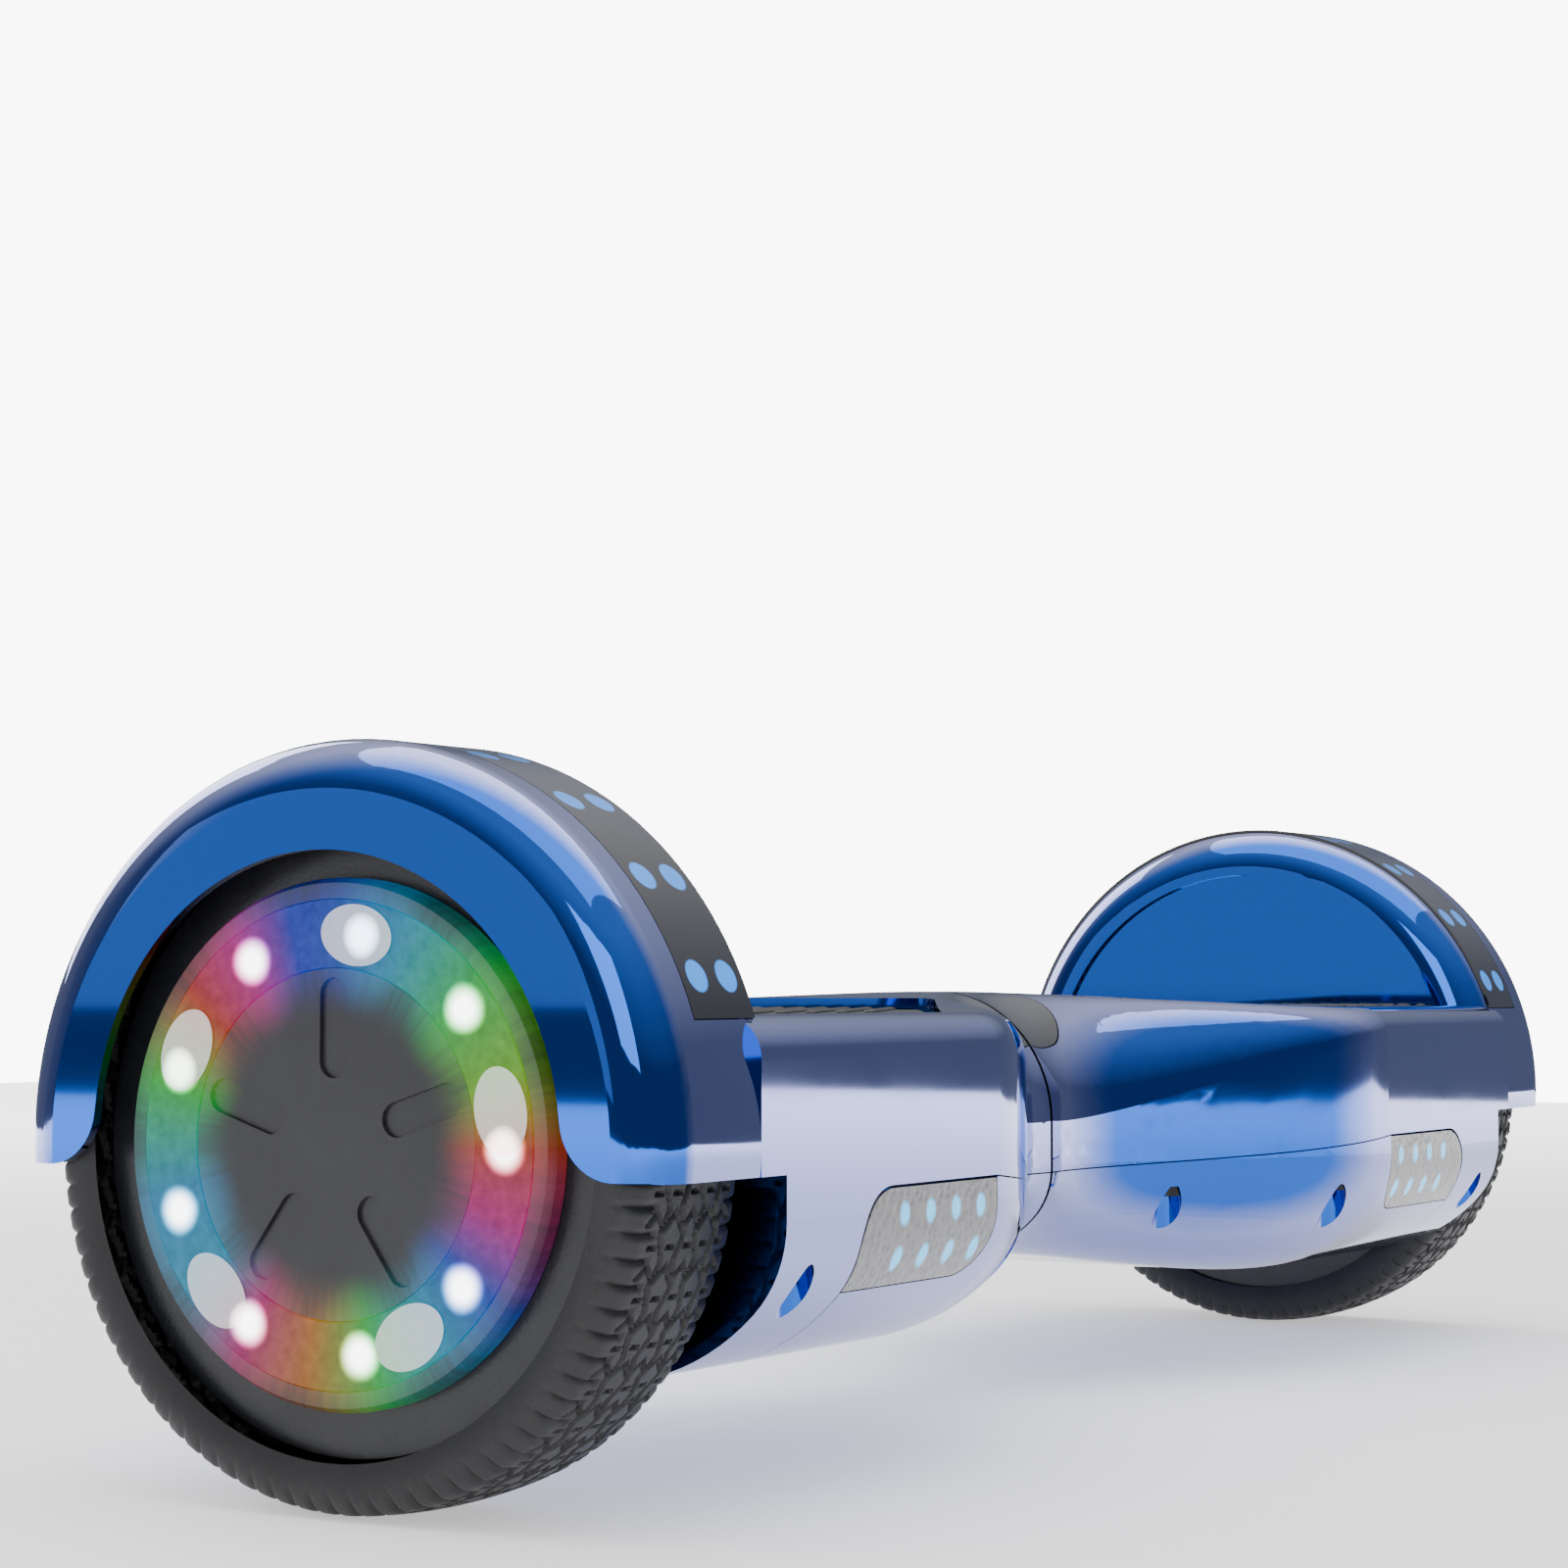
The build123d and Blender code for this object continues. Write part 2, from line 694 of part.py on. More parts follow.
# ================================================================ frame
chassis_boss_bore = tube_radius + run
run_out = 1.0                # the deck clears the circlip by this
clamp_bolt_y = axle_radius + clamp_bolt_offset
clamp_bolt_places = [
    (x, side * clamp_bolt_y)
    for x in (seat_start + clamp_bolt_inset, deck_end - clamp_bolt_inset)
    for side in (-1, 1)
]
flange_middle = deck_half_width - plate / 2
with BuildPart() as chassis:
    with BuildSketch(Plane.XY.offset(deck_low)) as deck_plan:
        with BuildLine():
            Polyline(
                (boss_start + wall, boss_radius),
                (boss_end, boss_radius),
                (deck_start, deck_half_width),
                (deck_end, deck_half_width),
                (deck_end, -deck_half_width),
                (deck_start, -deck_half_width),
                (boss_end, -boss_radius),
                (boss_start + wall, -boss_radius),
                close=True,
            )
        make_face()
    extrude(amount=plate)
    for side in (-1, 1):
        add(block(
            deck_start, deck_end, side * flange_middle - plate / 2, side * flange_middle + plate / 2,
            flange_low, deck_low + plate / 2,
        ))
    for px, py in screw_places():
        if px > deck_start:
            ear_end = math.copysign(abs(py) + ear_lip, py)
            ear_root = math.copysign(deck_half_width - plate, py)
            add(block(
                px - ear_half_width, px + ear_half_width, min(ear_end, ear_root), max(ear_end, ear_root),
                ear_low, ear_top,
            ))
            with Locations((px, py, ear_low)):
                Cylinder(screw_radius + run, 4 * plate, mode=Mode.SUBTRACT)
    add(axle_ring(boss_start, boss_end, 0, boss_radius, pivot_height))
    add(block(
        seat_start, deck_end, -seat_half_width, seat_half_width,
        axle_height + fit, axle_height + axle_radius + 2 * plate,
    ))
    add(axle_ring(seat_start - wall, deck_end + wall, 0, axle_radius + run), mode=Mode.SUBTRACT)
    add(axle_ring(0, boss_end + wall, 0, chassis_boss_bore, pivot_height), mode=Mode.SUBTRACT)
    add(
        axle_ring(boss_end, tube_half_length + 2 * wall, 0, circlip_radius + run_out, pivot_height),
        mode=Mode.SUBTRACT,
    )
    for px, py in clamp_bolt_places:
        with Locations((px, py, deck_low)):
            Cylinder(bolt_radius + run, 4 * plate, mode=Mode.SUBTRACT)

# The left frame is fixed to the tube. The right frame turns on it in two bushes.
save(mirror(chassis.part, about=Plane.YZ), "left_chassis")
with BuildPart() as right_chassis:
    add(chassis.part)
    for start in (boss_start, boss_end - bush_length):
        add(axle_ring(start, start + bush_length, 0, bush_radius, pivot_height), mode=Mode.SUBTRACT)
save(right_chassis.part, "right_chassis")

bushes = [
    axle_ring(start, start + bush_length, tube_radius + run, bush_radius, pivot_height)
    for start in (boss_start, boss_end - bush_length)
]
save_group(bushes, "pivot_bushes")

groove_floor = tube_radius - groove_depth
circlip_middle = boss_end + fit + circlip_thickness / 2
circlip_starts = [side * circlip_middle - circlip_thickness / 2 for side in (-1, 1)]
with BuildPart() as pivot_tube:
    add(axle_ring(-tube_half_length, tube_half_length, tube_bore_radius, tube_radius, pivot_height))
    for start in circlip_starts:
        groove = axle_ring(
            start - fit / 2, start + circlip_thickness + fit / 2, groove_floor, 2 * tube_radius, pivot_height
        )
        add(groove, mode=Mode.SUBTRACT)
save(pivot_tube.part, "pivot_tube")

circlips = []
for start in circlip_starts:
    ring = axle_ring(start, start + circlip_thickness, groove_floor + run, circlip_radius, pivot_height)
    mouth = block(
        start - circlip_thickness, start + 2 * circlip_thickness,
        -circlip_mouth / 2, circlip_mouth / 2, pivot_height, pivot_height + 2 * circlip_radius,
    )
    circlips.append(ring - mouth)
save_group(circlips, "pivot_circlips")

with BuildPart() as axle_clamp:
    add(block(seat_start, deck_end, -seat_half_width, seat_half_width, clamp_low, axle_height - fit))
    add(axle_ring(seat_start - wall, deck_end + wall, 0, axle_radius + run), mode=Mode.SUBTRACT)
    for px, py in clamp_bolt_places:
        with Locations((px, py, clamp_low)):
            Cylinder(bolt_radius + run, 4 * seat_half_width, mode=Mode.SUBTRACT)
save_pair(axle_clamp.part, "axle_clamp")

bolts = []
for px, py in clamp_bolt_places:
    bolts.append(
        pin(px, py, clamp_low - fit / 2, deck_low, bolt_radius)
        + pin(px, py, clamp_low - fit / 2 - bolt_head, clamp_low - fit / 2, 2 * bolt_radius)
    )
save_group_pair(bolts, "clamp_bolts")

shell_screws = [
    pin(px, py, screw_seat, screw_top, screw_radius)
    + pin(px, py, screw_seat - screw_head_height, screw_seat - run, screw_head_radius)
    for px, py in screw_places()
]
save_group_pair(shell_screws, "shell_screws")

# ================================================================ electrics
sensor_boards = []
for front in (-1, 1):
    sensor_boards.append(block(
        sensor_x - sensor_length / 2, sensor_x + sensor_length / 2,
        front * sensor_y - sensor_width / 2, front * sensor_y + sensor_width / 2, sensor_low, sensor_top,
    ))
for px, py in sensor_places:
    sensor_boards.append(block(
        px - switch_size / 2, px + switch_size / 2, py - switch_size / 2, py + switch_size / 2,
        sensor_top, switch_top,
    ))
save_group_pair(sensor_boards, "sensor_boards")

battery_top = deck_low - fit
with BuildPart() as battery:
    add(block(
        battery_start, battery_end, -battery_half, battery_half, battery_top - battery_height, battery_top,
    ))
    fillet(battery.edges().filter_by(Axis.X), battery_corner)
save(battery.part, "battery_pack")

strap_x = (battery_start + battery_end) / 2
strap_half = battery_half + fit + strap_thickness
with BuildPart() as strap:
    add(block(
        strap_x - strap_width / 2, strap_x + strap_width / 2, -strap_half, strap_half,
        battery_top - battery_height - fit - strap_thickness, deck_low,
    ))
    add(
        block(
            strap_x - strap_width, strap_x + strap_width, -battery_half - fit, battery_half + fit,
            battery_top - battery_height - fit, deck_low + wall,
        ),
        mode=Mode.SUBTRACT,
    )
save(strap.part, "battery_strap")

board_top = deck_low - board_standoff
board_low = board_top - circuit_thickness
heatsink_start = -board_end + heatsink_inset
main_board = [
    block(-board_end, -board_start, -board_half, board_half, board_low, board_top),
    block(
        heatsink_start, heatsink_start + heatsink_width,
        -board_half + board_edge, board_half - board_edge, board_low - heatsink_depth, board_low,
    ),
]
for row in capacitor_rows:
    for py in (-capacitor_spacing, 0, capacitor_spacing):
        can = pin(-board_start - row, py, board_low - capacitor_length, board_low, capacitor_radius)
        main_board.append(can)
for px in (board_start + board_edge, board_end - board_edge):
    for py in (-board_half + board_edge, board_half - board_edge):
        main_board.append(pin(-px, py, board_top, deck_low, standoff_radius))
save_group(main_board, "main_board")

# ================================================================ wheel
axle_inner = seat_start
axle_tip = rim_face - fit
rim_start = wheel_x - rim_half_width
big_bearing_start = rim_start - motor_cover_thickness + bearing_sink
small_bearing_start = rim_face - small_bearing_width - fit
with BuildPart() as axle:
    add(axle_ring(axle_inner, small_bearing_start, 0, axle_radius))
    add(axle_ring(small_bearing_start, axle_tip, 0, axle_end_radius))
save_pair(axle.part, "axle")

with BuildPart() as hub_shell:
    with BuildSketch(Plane.XZ) as profile:
        with BuildLine():
            Polyline(
                (rim_start - inner_lip, motor_cover_radius),
                (rim_start - inner_lip, rim_seat_radius + inner_lip_rise),
                (rim_start, rim_seat_radius + inner_lip_rise),
                (rim_start + inner_lip, rim_seat_radius),
                (rim_face - outer_lip_start, rim_seat_radius),
                (rim_face - outer_lip_end, rim_seat_radius + outer_lip),
                (rim_face, rim_seat_radius + outer_lip),
                (rim_face, small_bearing_radius - bearing_stop),
                (rim_face - fit, small_bearing_radius - bearing_stop),
                (rim_face - fit, small_bearing_radius),
                (small_bearing_start, small_bearing_radius),
                (small_bearing_start, small_bearing_radius + bearing_collar),
                (rim_face - web_thickness, small_bearing_radius + bearing_collar),
                (rim_face - web_thickness, rim_inner_radius),
                (rim_start, rim_inner_radius),
                (rim_start, motor_cover_radius),
                close=True,
            )
        make_face()
    revolve(axis=Axis((0, 0, 0), (1, 0, 0)))
wheel_place = Pos(0, 0, axle_height)
save_pair(wheel_place * hub_shell.part, "hub_shell")

with BuildPart() as motor_cover:
    with BuildSketch(Plane.XZ) as profile:
        with BuildLine():
            Polyline(
                (rim_start - motor_cover_thickness, big_bearing_radius - bearing_stop),
                (rim_start - motor_cover_thickness, motor_cover_radius - run),
                (rim_start, motor_cover_radius - run),
                (rim_start, big_bearing_radius + bearing_collar),
                (big_bearing_start + big_bearing_width, big_bearing_radius + bearing_collar),
                (big_bearing_start + big_bearing_width, big_bearing_radius),
                (big_bearing_start, big_bearing_radius),
                (big_bearing_start, big_bearing_radius - bearing_stop),
                close=True,
            )
        make_face()
    revolve(axis=Axis((0, 0, 0), (1, 0, 0)))
    with BuildSketch(Plane.YZ.offset(rim_start - motor_cover_thickness)):
        with PolarLocations(cover_screw_circle, cover_screw_count):
            Circle(screw_radius + run)
    extrude(amount=motor_cover_thickness, mode=Mode.SUBTRACT)
save_pair(wheel_place * motor_cover.part, "motor_cover")

with BuildPart() as cover_screws:
    with BuildSketch(Plane.YZ.offset(rim_start - motor_cover_thickness)):
        with PolarLocations(cover_screw_circle, cover_screw_count):
            Circle(screw_radius)
    extrude(amount=motor_cover_thickness)
    with BuildSketch(Plane.YZ.offset(rim_start - motor_cover_thickness)):
        with PolarLocations(cover_screw_circle, cover_screw_count):
            Circle(2 * screw_radius)
    extrude(amount=-cover_screw_head)
save_group_pair([wheel_place * screw for screw in cover_screws.part.solids()], "motor_cover_screws")

big_bearing_end = big_bearing_start + big_bearing_width
bearings = [
    axle_ring(big_bearing_start, big_bearing_end, axle_radius + run, big_bearing_radius - run),
    axle_ring(small_bearing_start, rim_face - fit, axle_end_radius + run, small_bearing_radius - run),
]
save_group_pair(bearings, "wheel_bearings")

core_start = core_x - core_width / 2
with BuildPart() as magnet_ring:
    with BuildSketch(Plane.YZ.offset(core_start)):
        Circle(rim_inner_radius - run)
        Circle(rim_inner_radius - magnet_depth, mode=Mode.SUBTRACT)
        with PolarLocations(rim_inner_radius, magnet_count):
            Rectangle(4 * magnet_depth, magnet_space, mode=Mode.SUBTRACT)
    extrude(amount=core_width)
save_group_pair([wheel_place * magnet for magnet in magnet_ring.part.solids()], "rotor_magnets")

with BuildPart() as stator_core:
    with BuildSketch(Plane.YZ.offset(core_start)):
        Circle(core_radius)
        with PolarLocations((core_radius + tooth_tip_radius) / 2 - 1, tooth_count):
            Rectangle(tooth_tip_radius - core_radius, tooth_width)
        Circle(axle_radius + run, mode=Mode.SUBTRACT)
        with PolarLocations((core_radius + axle_radius) / 2, core_hole_count):
            Circle(core_hole_radius, mode=Mode.SUBTRACT)
    extrude(amount=core_width)
save_pair(wheel_place * stator_core.part, "stator_core")

coil_low = core_radius + coil_inset
coil_high = tooth_tip_radius - coil_inset
with BuildPart() as coils:
    with BuildSketch(Plane.YZ.offset(core_start - coil_build)):
        with PolarLocations((coil_low + coil_high) / 2, tooth_count):
            Rectangle(coil_high - coil_low, tooth_width + 2 * coil_build)
    extrude(amount=core_width + 2 * coil_build)
    with BuildSketch(Plane.YZ.offset(core_start - run)):
        with PolarLocations((coil_low + coil_high) / 2, tooth_count):
            Rectangle(2 * (coil_high - coil_low), tooth_width + 2 * run)
    extrude(amount=core_width + 2 * run, mode=Mode.SUBTRACT)
save_group_pair([wheel_place * coil for coil in coils.part.solids()], "stator_windings")

seat = rim_seat_radius + run
outer_bead = (rim_face, seat + outer_lip)
inner_bead = (rim_start - inner_lip, seat + inner_lip_rise)
tread_edge = tyre_radius - tread_crown
sidewall_radius = rim_seat_radius + sidewall_rise
bead_radius = rim_seat_radius + bead_rise
shoulder_radius = tyre_radius - shoulder_low
with BuildPart() as tyre:
    with BuildSketch(Plane.XZ) as profile:
        with BuildLine():
            Polyline(
                inner_bead,
                (rim_start, inner_bead[1]),
                (rim_start + inner_lip, seat),
                (rim_face - outer_lip_start, seat),
                (rim_face - outer_lip_end, outer_bead[1]),
                outer_bead,
            )
            ThreePointArc(
                outer_bead,
                (wheel_outer - bead_inset[0], bead_radius),
                (wheel_outer, sidewall_radius),
            )
            ThreePointArc(
                (wheel_outer, sidewall_radius),
                (wheel_outer - shoulder_bulge, shoulder_radius),
                (wheel_outer - shoulder_drop, tread_edge),
            )
            ThreePointArc(
                (wheel_outer - shoulder_drop, tread_edge),
                (wheel_x, tyre_radius),
                (wheel_inner + shoulder_drop, tread_edge),
            )
            ThreePointArc(
                (wheel_inner + shoulder_drop, tread_edge),
                (wheel_inner + shoulder_bulge, shoulder_radius),
                (wheel_inner, sidewall_radius),
            )
            ThreePointArc(
                (wheel_inner, sidewall_radius),
                (wheel_inner + bead_inset[1], bead_radius),
                inner_bead,
            )
        make_face()
    revolve(axis=Axis((0, 0, 0), (1, 0, 0)))
save_pair(wheel_place * tyre.part, "tyre")

# Wheel cover: a dished plastic disc with a pocket for the light ring.
plate_back = cover_face - cover_plate
pocket_floor = cover_face - light_pocket
wheel_led_circle = (light_inner_radius + light_outer_radius) / 2
with BuildPart() as wheel_cover:
    add(axle_ring(rim_face + fit, cover_face, 0, cover_radius, 0))
    add(axle_ring(rim_face, plate_back, 0, cover_radius - cover_rebate, 0), mode=Mode.SUBTRACT)
    rim_edge = wheel_cover.faces().sort_by(Axis.X)[-1].outer_wire().edges()
    chamfer(rim_edge, length=cover_bevel[0], length2=cover_bevel[1])
    add(
        axle_ring(pocket_floor, cover_face + light_pocket, light_inner_radius, light_outer_radius, 0),
        mode=Mode.SUBTRACT,
    )
    with BuildSketch(Plane.YZ.offset(plate_back)):
        with PolarLocations(wheel_led_circle, wheel_led_count):
            Circle(wheel_led_radius + fit)
    extrude(amount=cover_plate, mode=Mode.SUBTRACT)
    with BuildSketch(Plane.YZ.offset(cover_face - slot_depth)):
        with PolarLocations((slot_inner_radius + slot_outer_radius) / 2, petal_count, start_angle=90):
            SlotOverall(slot_outer_radius - slot_inner_radius, slot_width)
    extrude(amount=2 * slot_depth, mode=Mode.SUBTRACT)
save_pair(wheel_place * wheel_cover.part, "wheel_cover")

ring_face = cover_face + ring_proud
with BuildPart() as light_ring:
    add(axle_ring(
        pocket_floor + fit, ring_face, light_inner_radius + fit, light_outer_radius - fit, 0,
    ))
    with BuildSketch(Plane.YZ.offset(ring_face)):
        with PolarLocations(wheel_led_circle, petal_count, start_angle=90 + petal_lead):
            Ellipse(petal_length / 2, petal_width / 2)
    extrude(amount=petal_height)
    beyond = axle_ring(0, 2 * cover_face, light_outer_radius - fit, 2 * light_outer_radius, 0)
    add(beyond, mode=Mode.SUBTRACT)
save_pair(wheel_place * light_ring.part, "wheel_light_ring")

led_board_front = plate_back - led_board_gap
led_board_back = led_board_front - led_board_thickness
wheel_leds = [
    axle_ring(led_board_back, led_board_front, light_inner_radius - cover_rebate, light_outer_radius)
]
with BuildPart() as led_pucks:
    with BuildSketch(Plane.YZ.offset(led_board_front)):
        with PolarLocations(wheel_led_circle, wheel_led_count):
            Circle(wheel_led_radius)
    extrude(amount=pocket_floor - led_board_front)
wheel_leds += [wheel_place * puck for puck in led_pucks.part.solids()]
save_group_pair(wheel_leds, "wheel_led_board")

# ================================================================ rear controls
def rear_disc(x, y_low, y_high, radius, bore=0.0):
    """A round piece set in the rear side, its axis along Y."""
    with BuildPart() as disc:
        with BuildSketch(Plane.XZ.offset(-y_low)):
            with Locations((x, port_height)):
                Circle(radius)
                if bore:
                    Circle(bore, mode=Mode.SUBTRACT)
        extrude(amount=y_low - y_high)
    return disc.part


rear_inside = rear_face - wall
button_back = rear_inside - fit - button_flange
with BuildPart() as power_button:
    add(rear_disc(button_x, button_back, rear_face, button_radius))
    add(rear_disc(button_x, button_back, rear_inside - fit, button_radius + button_flange))
save(power_button.part, "power_button")

switch_face = button_back - button_travel - fit
power_switch = block(
    button_x - button_radius, button_x + button_radius, deck_half_width, switch_face,
    port_height - button_radius, port_height + button_radius,
)
save(power_switch, "power_switch")

inlet_mouth = rear_face - inlet_cap_thickness - fit
inlet_floor = inlet_mouth - inlet_depth
inlet = [
    rear_disc(inlet_x, deck_half_width, inlet_floor, inlet_radius)
    + rear_disc(inlet_x, inlet_floor, inlet_mouth, inlet_radius, inlet_bore)
]
for turn in range(inlet_pin_count):
    angle = math.radians(90 + 360 * turn / inlet_pin_count)
    pin_shift = (inlet_pin_circle * math.cos(angle), inlet_pin_circle * math.sin(angle))
    with BuildPart() as contact:
        with BuildSketch(Plane.XZ.offset(-inlet_floor)):
            with Locations((inlet_x + pin_shift[0], port_height + pin_shift[1])):
                Circle(inlet_pin_radius)
        extrude(amount=-inlet_pin_length)
    inlet.append(contact.part)
save_group(inlet, "charge_inlet")

inlet_cap = rear_disc(inlet_x, rear_face - inlet_cap_thickness, rear_face, inlet_cap_radius)
save(inlet_cap, "charge_inlet_cap")
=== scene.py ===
import json
import math

import bpy
from bpy.props import FloatProperty, FloatVectorProperty, IntProperty, PointerProperty
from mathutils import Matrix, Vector


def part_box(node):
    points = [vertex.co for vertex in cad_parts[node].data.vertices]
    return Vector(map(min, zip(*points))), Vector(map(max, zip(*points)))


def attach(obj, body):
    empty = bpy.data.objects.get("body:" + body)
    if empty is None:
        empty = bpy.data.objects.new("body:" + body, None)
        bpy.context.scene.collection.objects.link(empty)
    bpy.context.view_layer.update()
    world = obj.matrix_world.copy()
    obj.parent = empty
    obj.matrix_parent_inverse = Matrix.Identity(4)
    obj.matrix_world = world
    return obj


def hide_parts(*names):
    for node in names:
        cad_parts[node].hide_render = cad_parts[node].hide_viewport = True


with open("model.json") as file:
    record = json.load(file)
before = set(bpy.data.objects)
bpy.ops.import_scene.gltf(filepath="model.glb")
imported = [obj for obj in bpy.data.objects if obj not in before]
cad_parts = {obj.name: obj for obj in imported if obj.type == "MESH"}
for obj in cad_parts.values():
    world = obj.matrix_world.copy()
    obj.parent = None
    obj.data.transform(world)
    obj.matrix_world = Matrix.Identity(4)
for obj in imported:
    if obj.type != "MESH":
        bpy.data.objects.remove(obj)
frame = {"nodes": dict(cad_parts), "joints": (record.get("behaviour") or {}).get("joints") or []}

bl_info = {
    "name": "Self Balancing Hoverboard",
    "version": (1, 0, 0),
    "blender": (4, 5, 0),
    "location": "3D View > Sidebar > Hoverboard",
    "description": "Builds the shells, tyres, lights and finishes of a self balancing hoverboard",
    "category": "Object",
}

SIDES = (("left", -1.0), ("right", 1.0))
AXLE_HEIGHT = next(j["pos_m"][2] for j in frame["joints"] if j["name"] == "left_wheel_spin")
WHEEL_X = next(j["pos_m"][0] for j in frame["joints"] if j["name"] == "right_wheel_spin")


# ------------------------------------------------------------ node helpers
def new_material(name):
    """An empty node material with its Principled shader and Object coordinates."""
    material = bpy.data.materials.new(name)
    material.use_nodes = True
    tree = material.node_tree
    shader = next(n for n in tree.nodes if n.type == "BSDF_PRINCIPLED")
    coords = tree.nodes.new("ShaderNodeTexCoord").outputs["Object"]
    return material, tree, shader, coords


def noise(tree, coords, scale, detail=4.0, roughness=0.6):
    node = tree.nodes.new("ShaderNodeTexNoise")
    node.inputs["Scale"].default_value = scale
    node.inputs["Detail"].default_value = detail
    node.inputs["Roughness"].default_value = roughness
    tree.links.new(coords, node.inputs["Vector"])
    return node.outputs["Fac"]


def cells(tree, coords, scale):
    node = tree.nodes.new("ShaderNodeTexVoronoi")
    node.inputs["Scale"].default_value = scale
    tree.links.new(coords, node.inputs["Vector"])
    return node.outputs["Distance"]


def spread(tree, factor, low, high):
    """Map a 0 to 1 factor onto low to high."""
    node = tree.nodes.new("ShaderNodeMapRange")
    node.inputs["To Min"].default_value = low
    node.inputs["To Max"].default_value = high
    tree.links.new(factor, node.inputs["Value"])
    return node.outputs["Result"]


def ramp(tree, factor, stops):
    """Colour ramp with (place, colour) stops."""
    node = tree.nodes.new("ShaderNodeValToRGB")
    while len(node.color_ramp.elements) < len(stops):
        node.color_ramp.elements.new(0.5)
    for element, (place, colour) in zip(node.color_ramp.elements, stops):
        element.position = place
        element.color = (*colour, 1.0)
    tree.links.new(factor, node.inputs["Fac"])
    return node.outputs["Color"]


def bump(tree, shader, height, strength, distance):
    node = tree.nodes.new("ShaderNodeBump")
    node.inputs["Strength"].default_value = strength
    node.inputs["Distance"].default_value = distance
    tree.links.new(height, node.inputs["Height"])
    tree.links.new(node.outputs["Normal"], shader.inputs["Normal"])


def moulded(name, dark, light, roughness, grain=900.0, depth=0.25, metallic=0.0, coat=0.0):
    """Plastic, rubber or painted metal with a mottled tone and a fine grain."""
    material, tree, shader, coords = new_material(name)
    tone = noise(tree, coords, 35.0)
    tree.links.new(ramp(tree, tone, [(0.3, dark), (0.7, light)]), shader.inputs["Base Color"])
    low, high = roughness
    tree.links.new(spread(tree, noise(tree, coords, 120.0), low, high), shader.inputs["Roughness"])
    shader.inputs["Metallic"].default_value = metallic
    shader.inputs["Coat Weight"].default_value = coat
    bump(tree, shader, noise(tree, coords, grain, 2.0), depth, 0.0002)
    return material


def brushed(name, dark, light, roughness, stretch=(1.0, 14.0, 14.0)):
    """Worked metal with fine drawn streaks."""
    material, tree, shader, coords = new_material(name)
    mapping = tree.nodes.new("ShaderNodeMapping")
    mapping.inputs["Scale"].default_value = stretch
    tree.links.new(coords, mapping.inputs["Vector"])
    streaks = noise(tree, mapping.outputs["Vector"], 60.0, 6.0)
    tree.links.new(ramp(tree, streaks, [(0.3, dark), (0.7, light)]), shader.inputs["Base Color"])
    tree.links.new(spread(tree, streaks, *roughness), shader.inputs["Roughness"])
    shader.inputs["Metallic"].default_value = 1.0
    bump(tree, shader, streaks, 0.15, 0.0001)
    return material


def dress(node, material):
    """Give a CAD piece or a mesh one material all over."""
    node.data.materials.clear()
    node.data.materials.append(material)


# ------------------------------------------------------------ finishes
def mirror_blue(facing, edge):
    """Mirror plating: deep blue where it faces the viewer; lavender at a slant is a painted reflection of the
    pale studio, set by the viewing angle.
    """
    material, tree, shader, coords = new_material("mirror_blue")
    slant = tree.nodes.new("ShaderNodeLayerWeight")
    slant.inputs["Blend"].default_value = 0.5
    # painted reflection: the base colour runs from deep blue to lavender as the surface turns away from the
    # viewer
    colour = ramp(tree, slant.outputs["Facing"], [(0.28, facing), (0.48, edge)])
    tree.links.new(colour, shader.inputs["Base Color"])
    shader.inputs["Metallic"].default_value = 1.0
    tree.links.new(spread(tree, noise(tree, coords, 18.0), 0.02, 0.06), shader.inputs["Roughness"])
    shader.inputs["Coat Weight"].default_value = 0.3
    shader.inputs["Coat Roughness"].default_value = 0.02
    bump(tree, shader, noise(tree, coords, 9.0, 1.0), 0.02, 0.0008)
    return material


def math_node(tree, operation, first, second=0.0):
    """One math node; each input is a socket or a number."""
    node = tree.nodes.new("ShaderNodeMath")
    node.operation = operation
    for socket, value in zip(node.inputs, (first, second)):
        if isinstance(value, (int, float)):
            socket.default_value = value
        else:
            tree.links.new(value, socket)
    return node.outputs["Value"]


def distance(tree, first, second):
    """Length of a flat vector given by its two parts."""
    squares = [math_node(tree, "POWER", part, 2.0) for part in (first, second)]
    return math_node(tree, "SQRT", math_node(tree, "ADD", *squares))


def axes(tree, coords):
    node = tree.nodes.new("ShaderNodeSeparateXYZ")
    tree.links.new(coords, node.inputs["Vector"])
    return node.outputs["X"], node.outputs["Y"], node.outputs["Z"]


def fade(tree, value, start, end):
    """1 below start, 0 above end, smooth between."""
    node = tree.nodes.new("ShaderNodeMapRange")
    node.interpolation_type = "SMOOTHSTEP"
    node.inputs["From Min"].default_value = start
    node.inputs["From Max"].default_value = end
    node.inputs["To Min"].default_value = 1.0
    node.inputs["To Max"].default_value = 0.0
    tree.links.new(value, node.inputs["Value"])
    return node.outputs["Result"]


RAINBOW = [
    (0.0, (0.0, 0.12, 1.0)), (0.06, (0.0, 0.6, 1.0)), (0.13, (0.0, 1.0, 0.12)), (0.2, (0.35, 1.0, 0.0)),
    (0.25, (1.0, 0.08, 0.0)), (0.30, (1.0, 0.0, 0.4)), (0.35, (0.0, 0.1, 1.0)), (0.40, (0.0, 0.6, 1.0)),
    (0.46, (0.0, 1.0, 0.1)), (0.52, (1.0, 0.35, 0.0)), (0.58, (0.9, 0.0, 0.3)), (0.64, (0.0, 0.6, 1.0)),
    (0.71, (0.0, 0.5, 1.0)), (0.79, (0.0, 1.0, 0.05)), (0.86, (1.0, 0.05, 0.0)), (0.91, (1.0, 0.0, 0.5)),
    (0.96, (0.0, 0.05, 1.0)), (1.0, (0.0, 0.12, 1.0)),
]


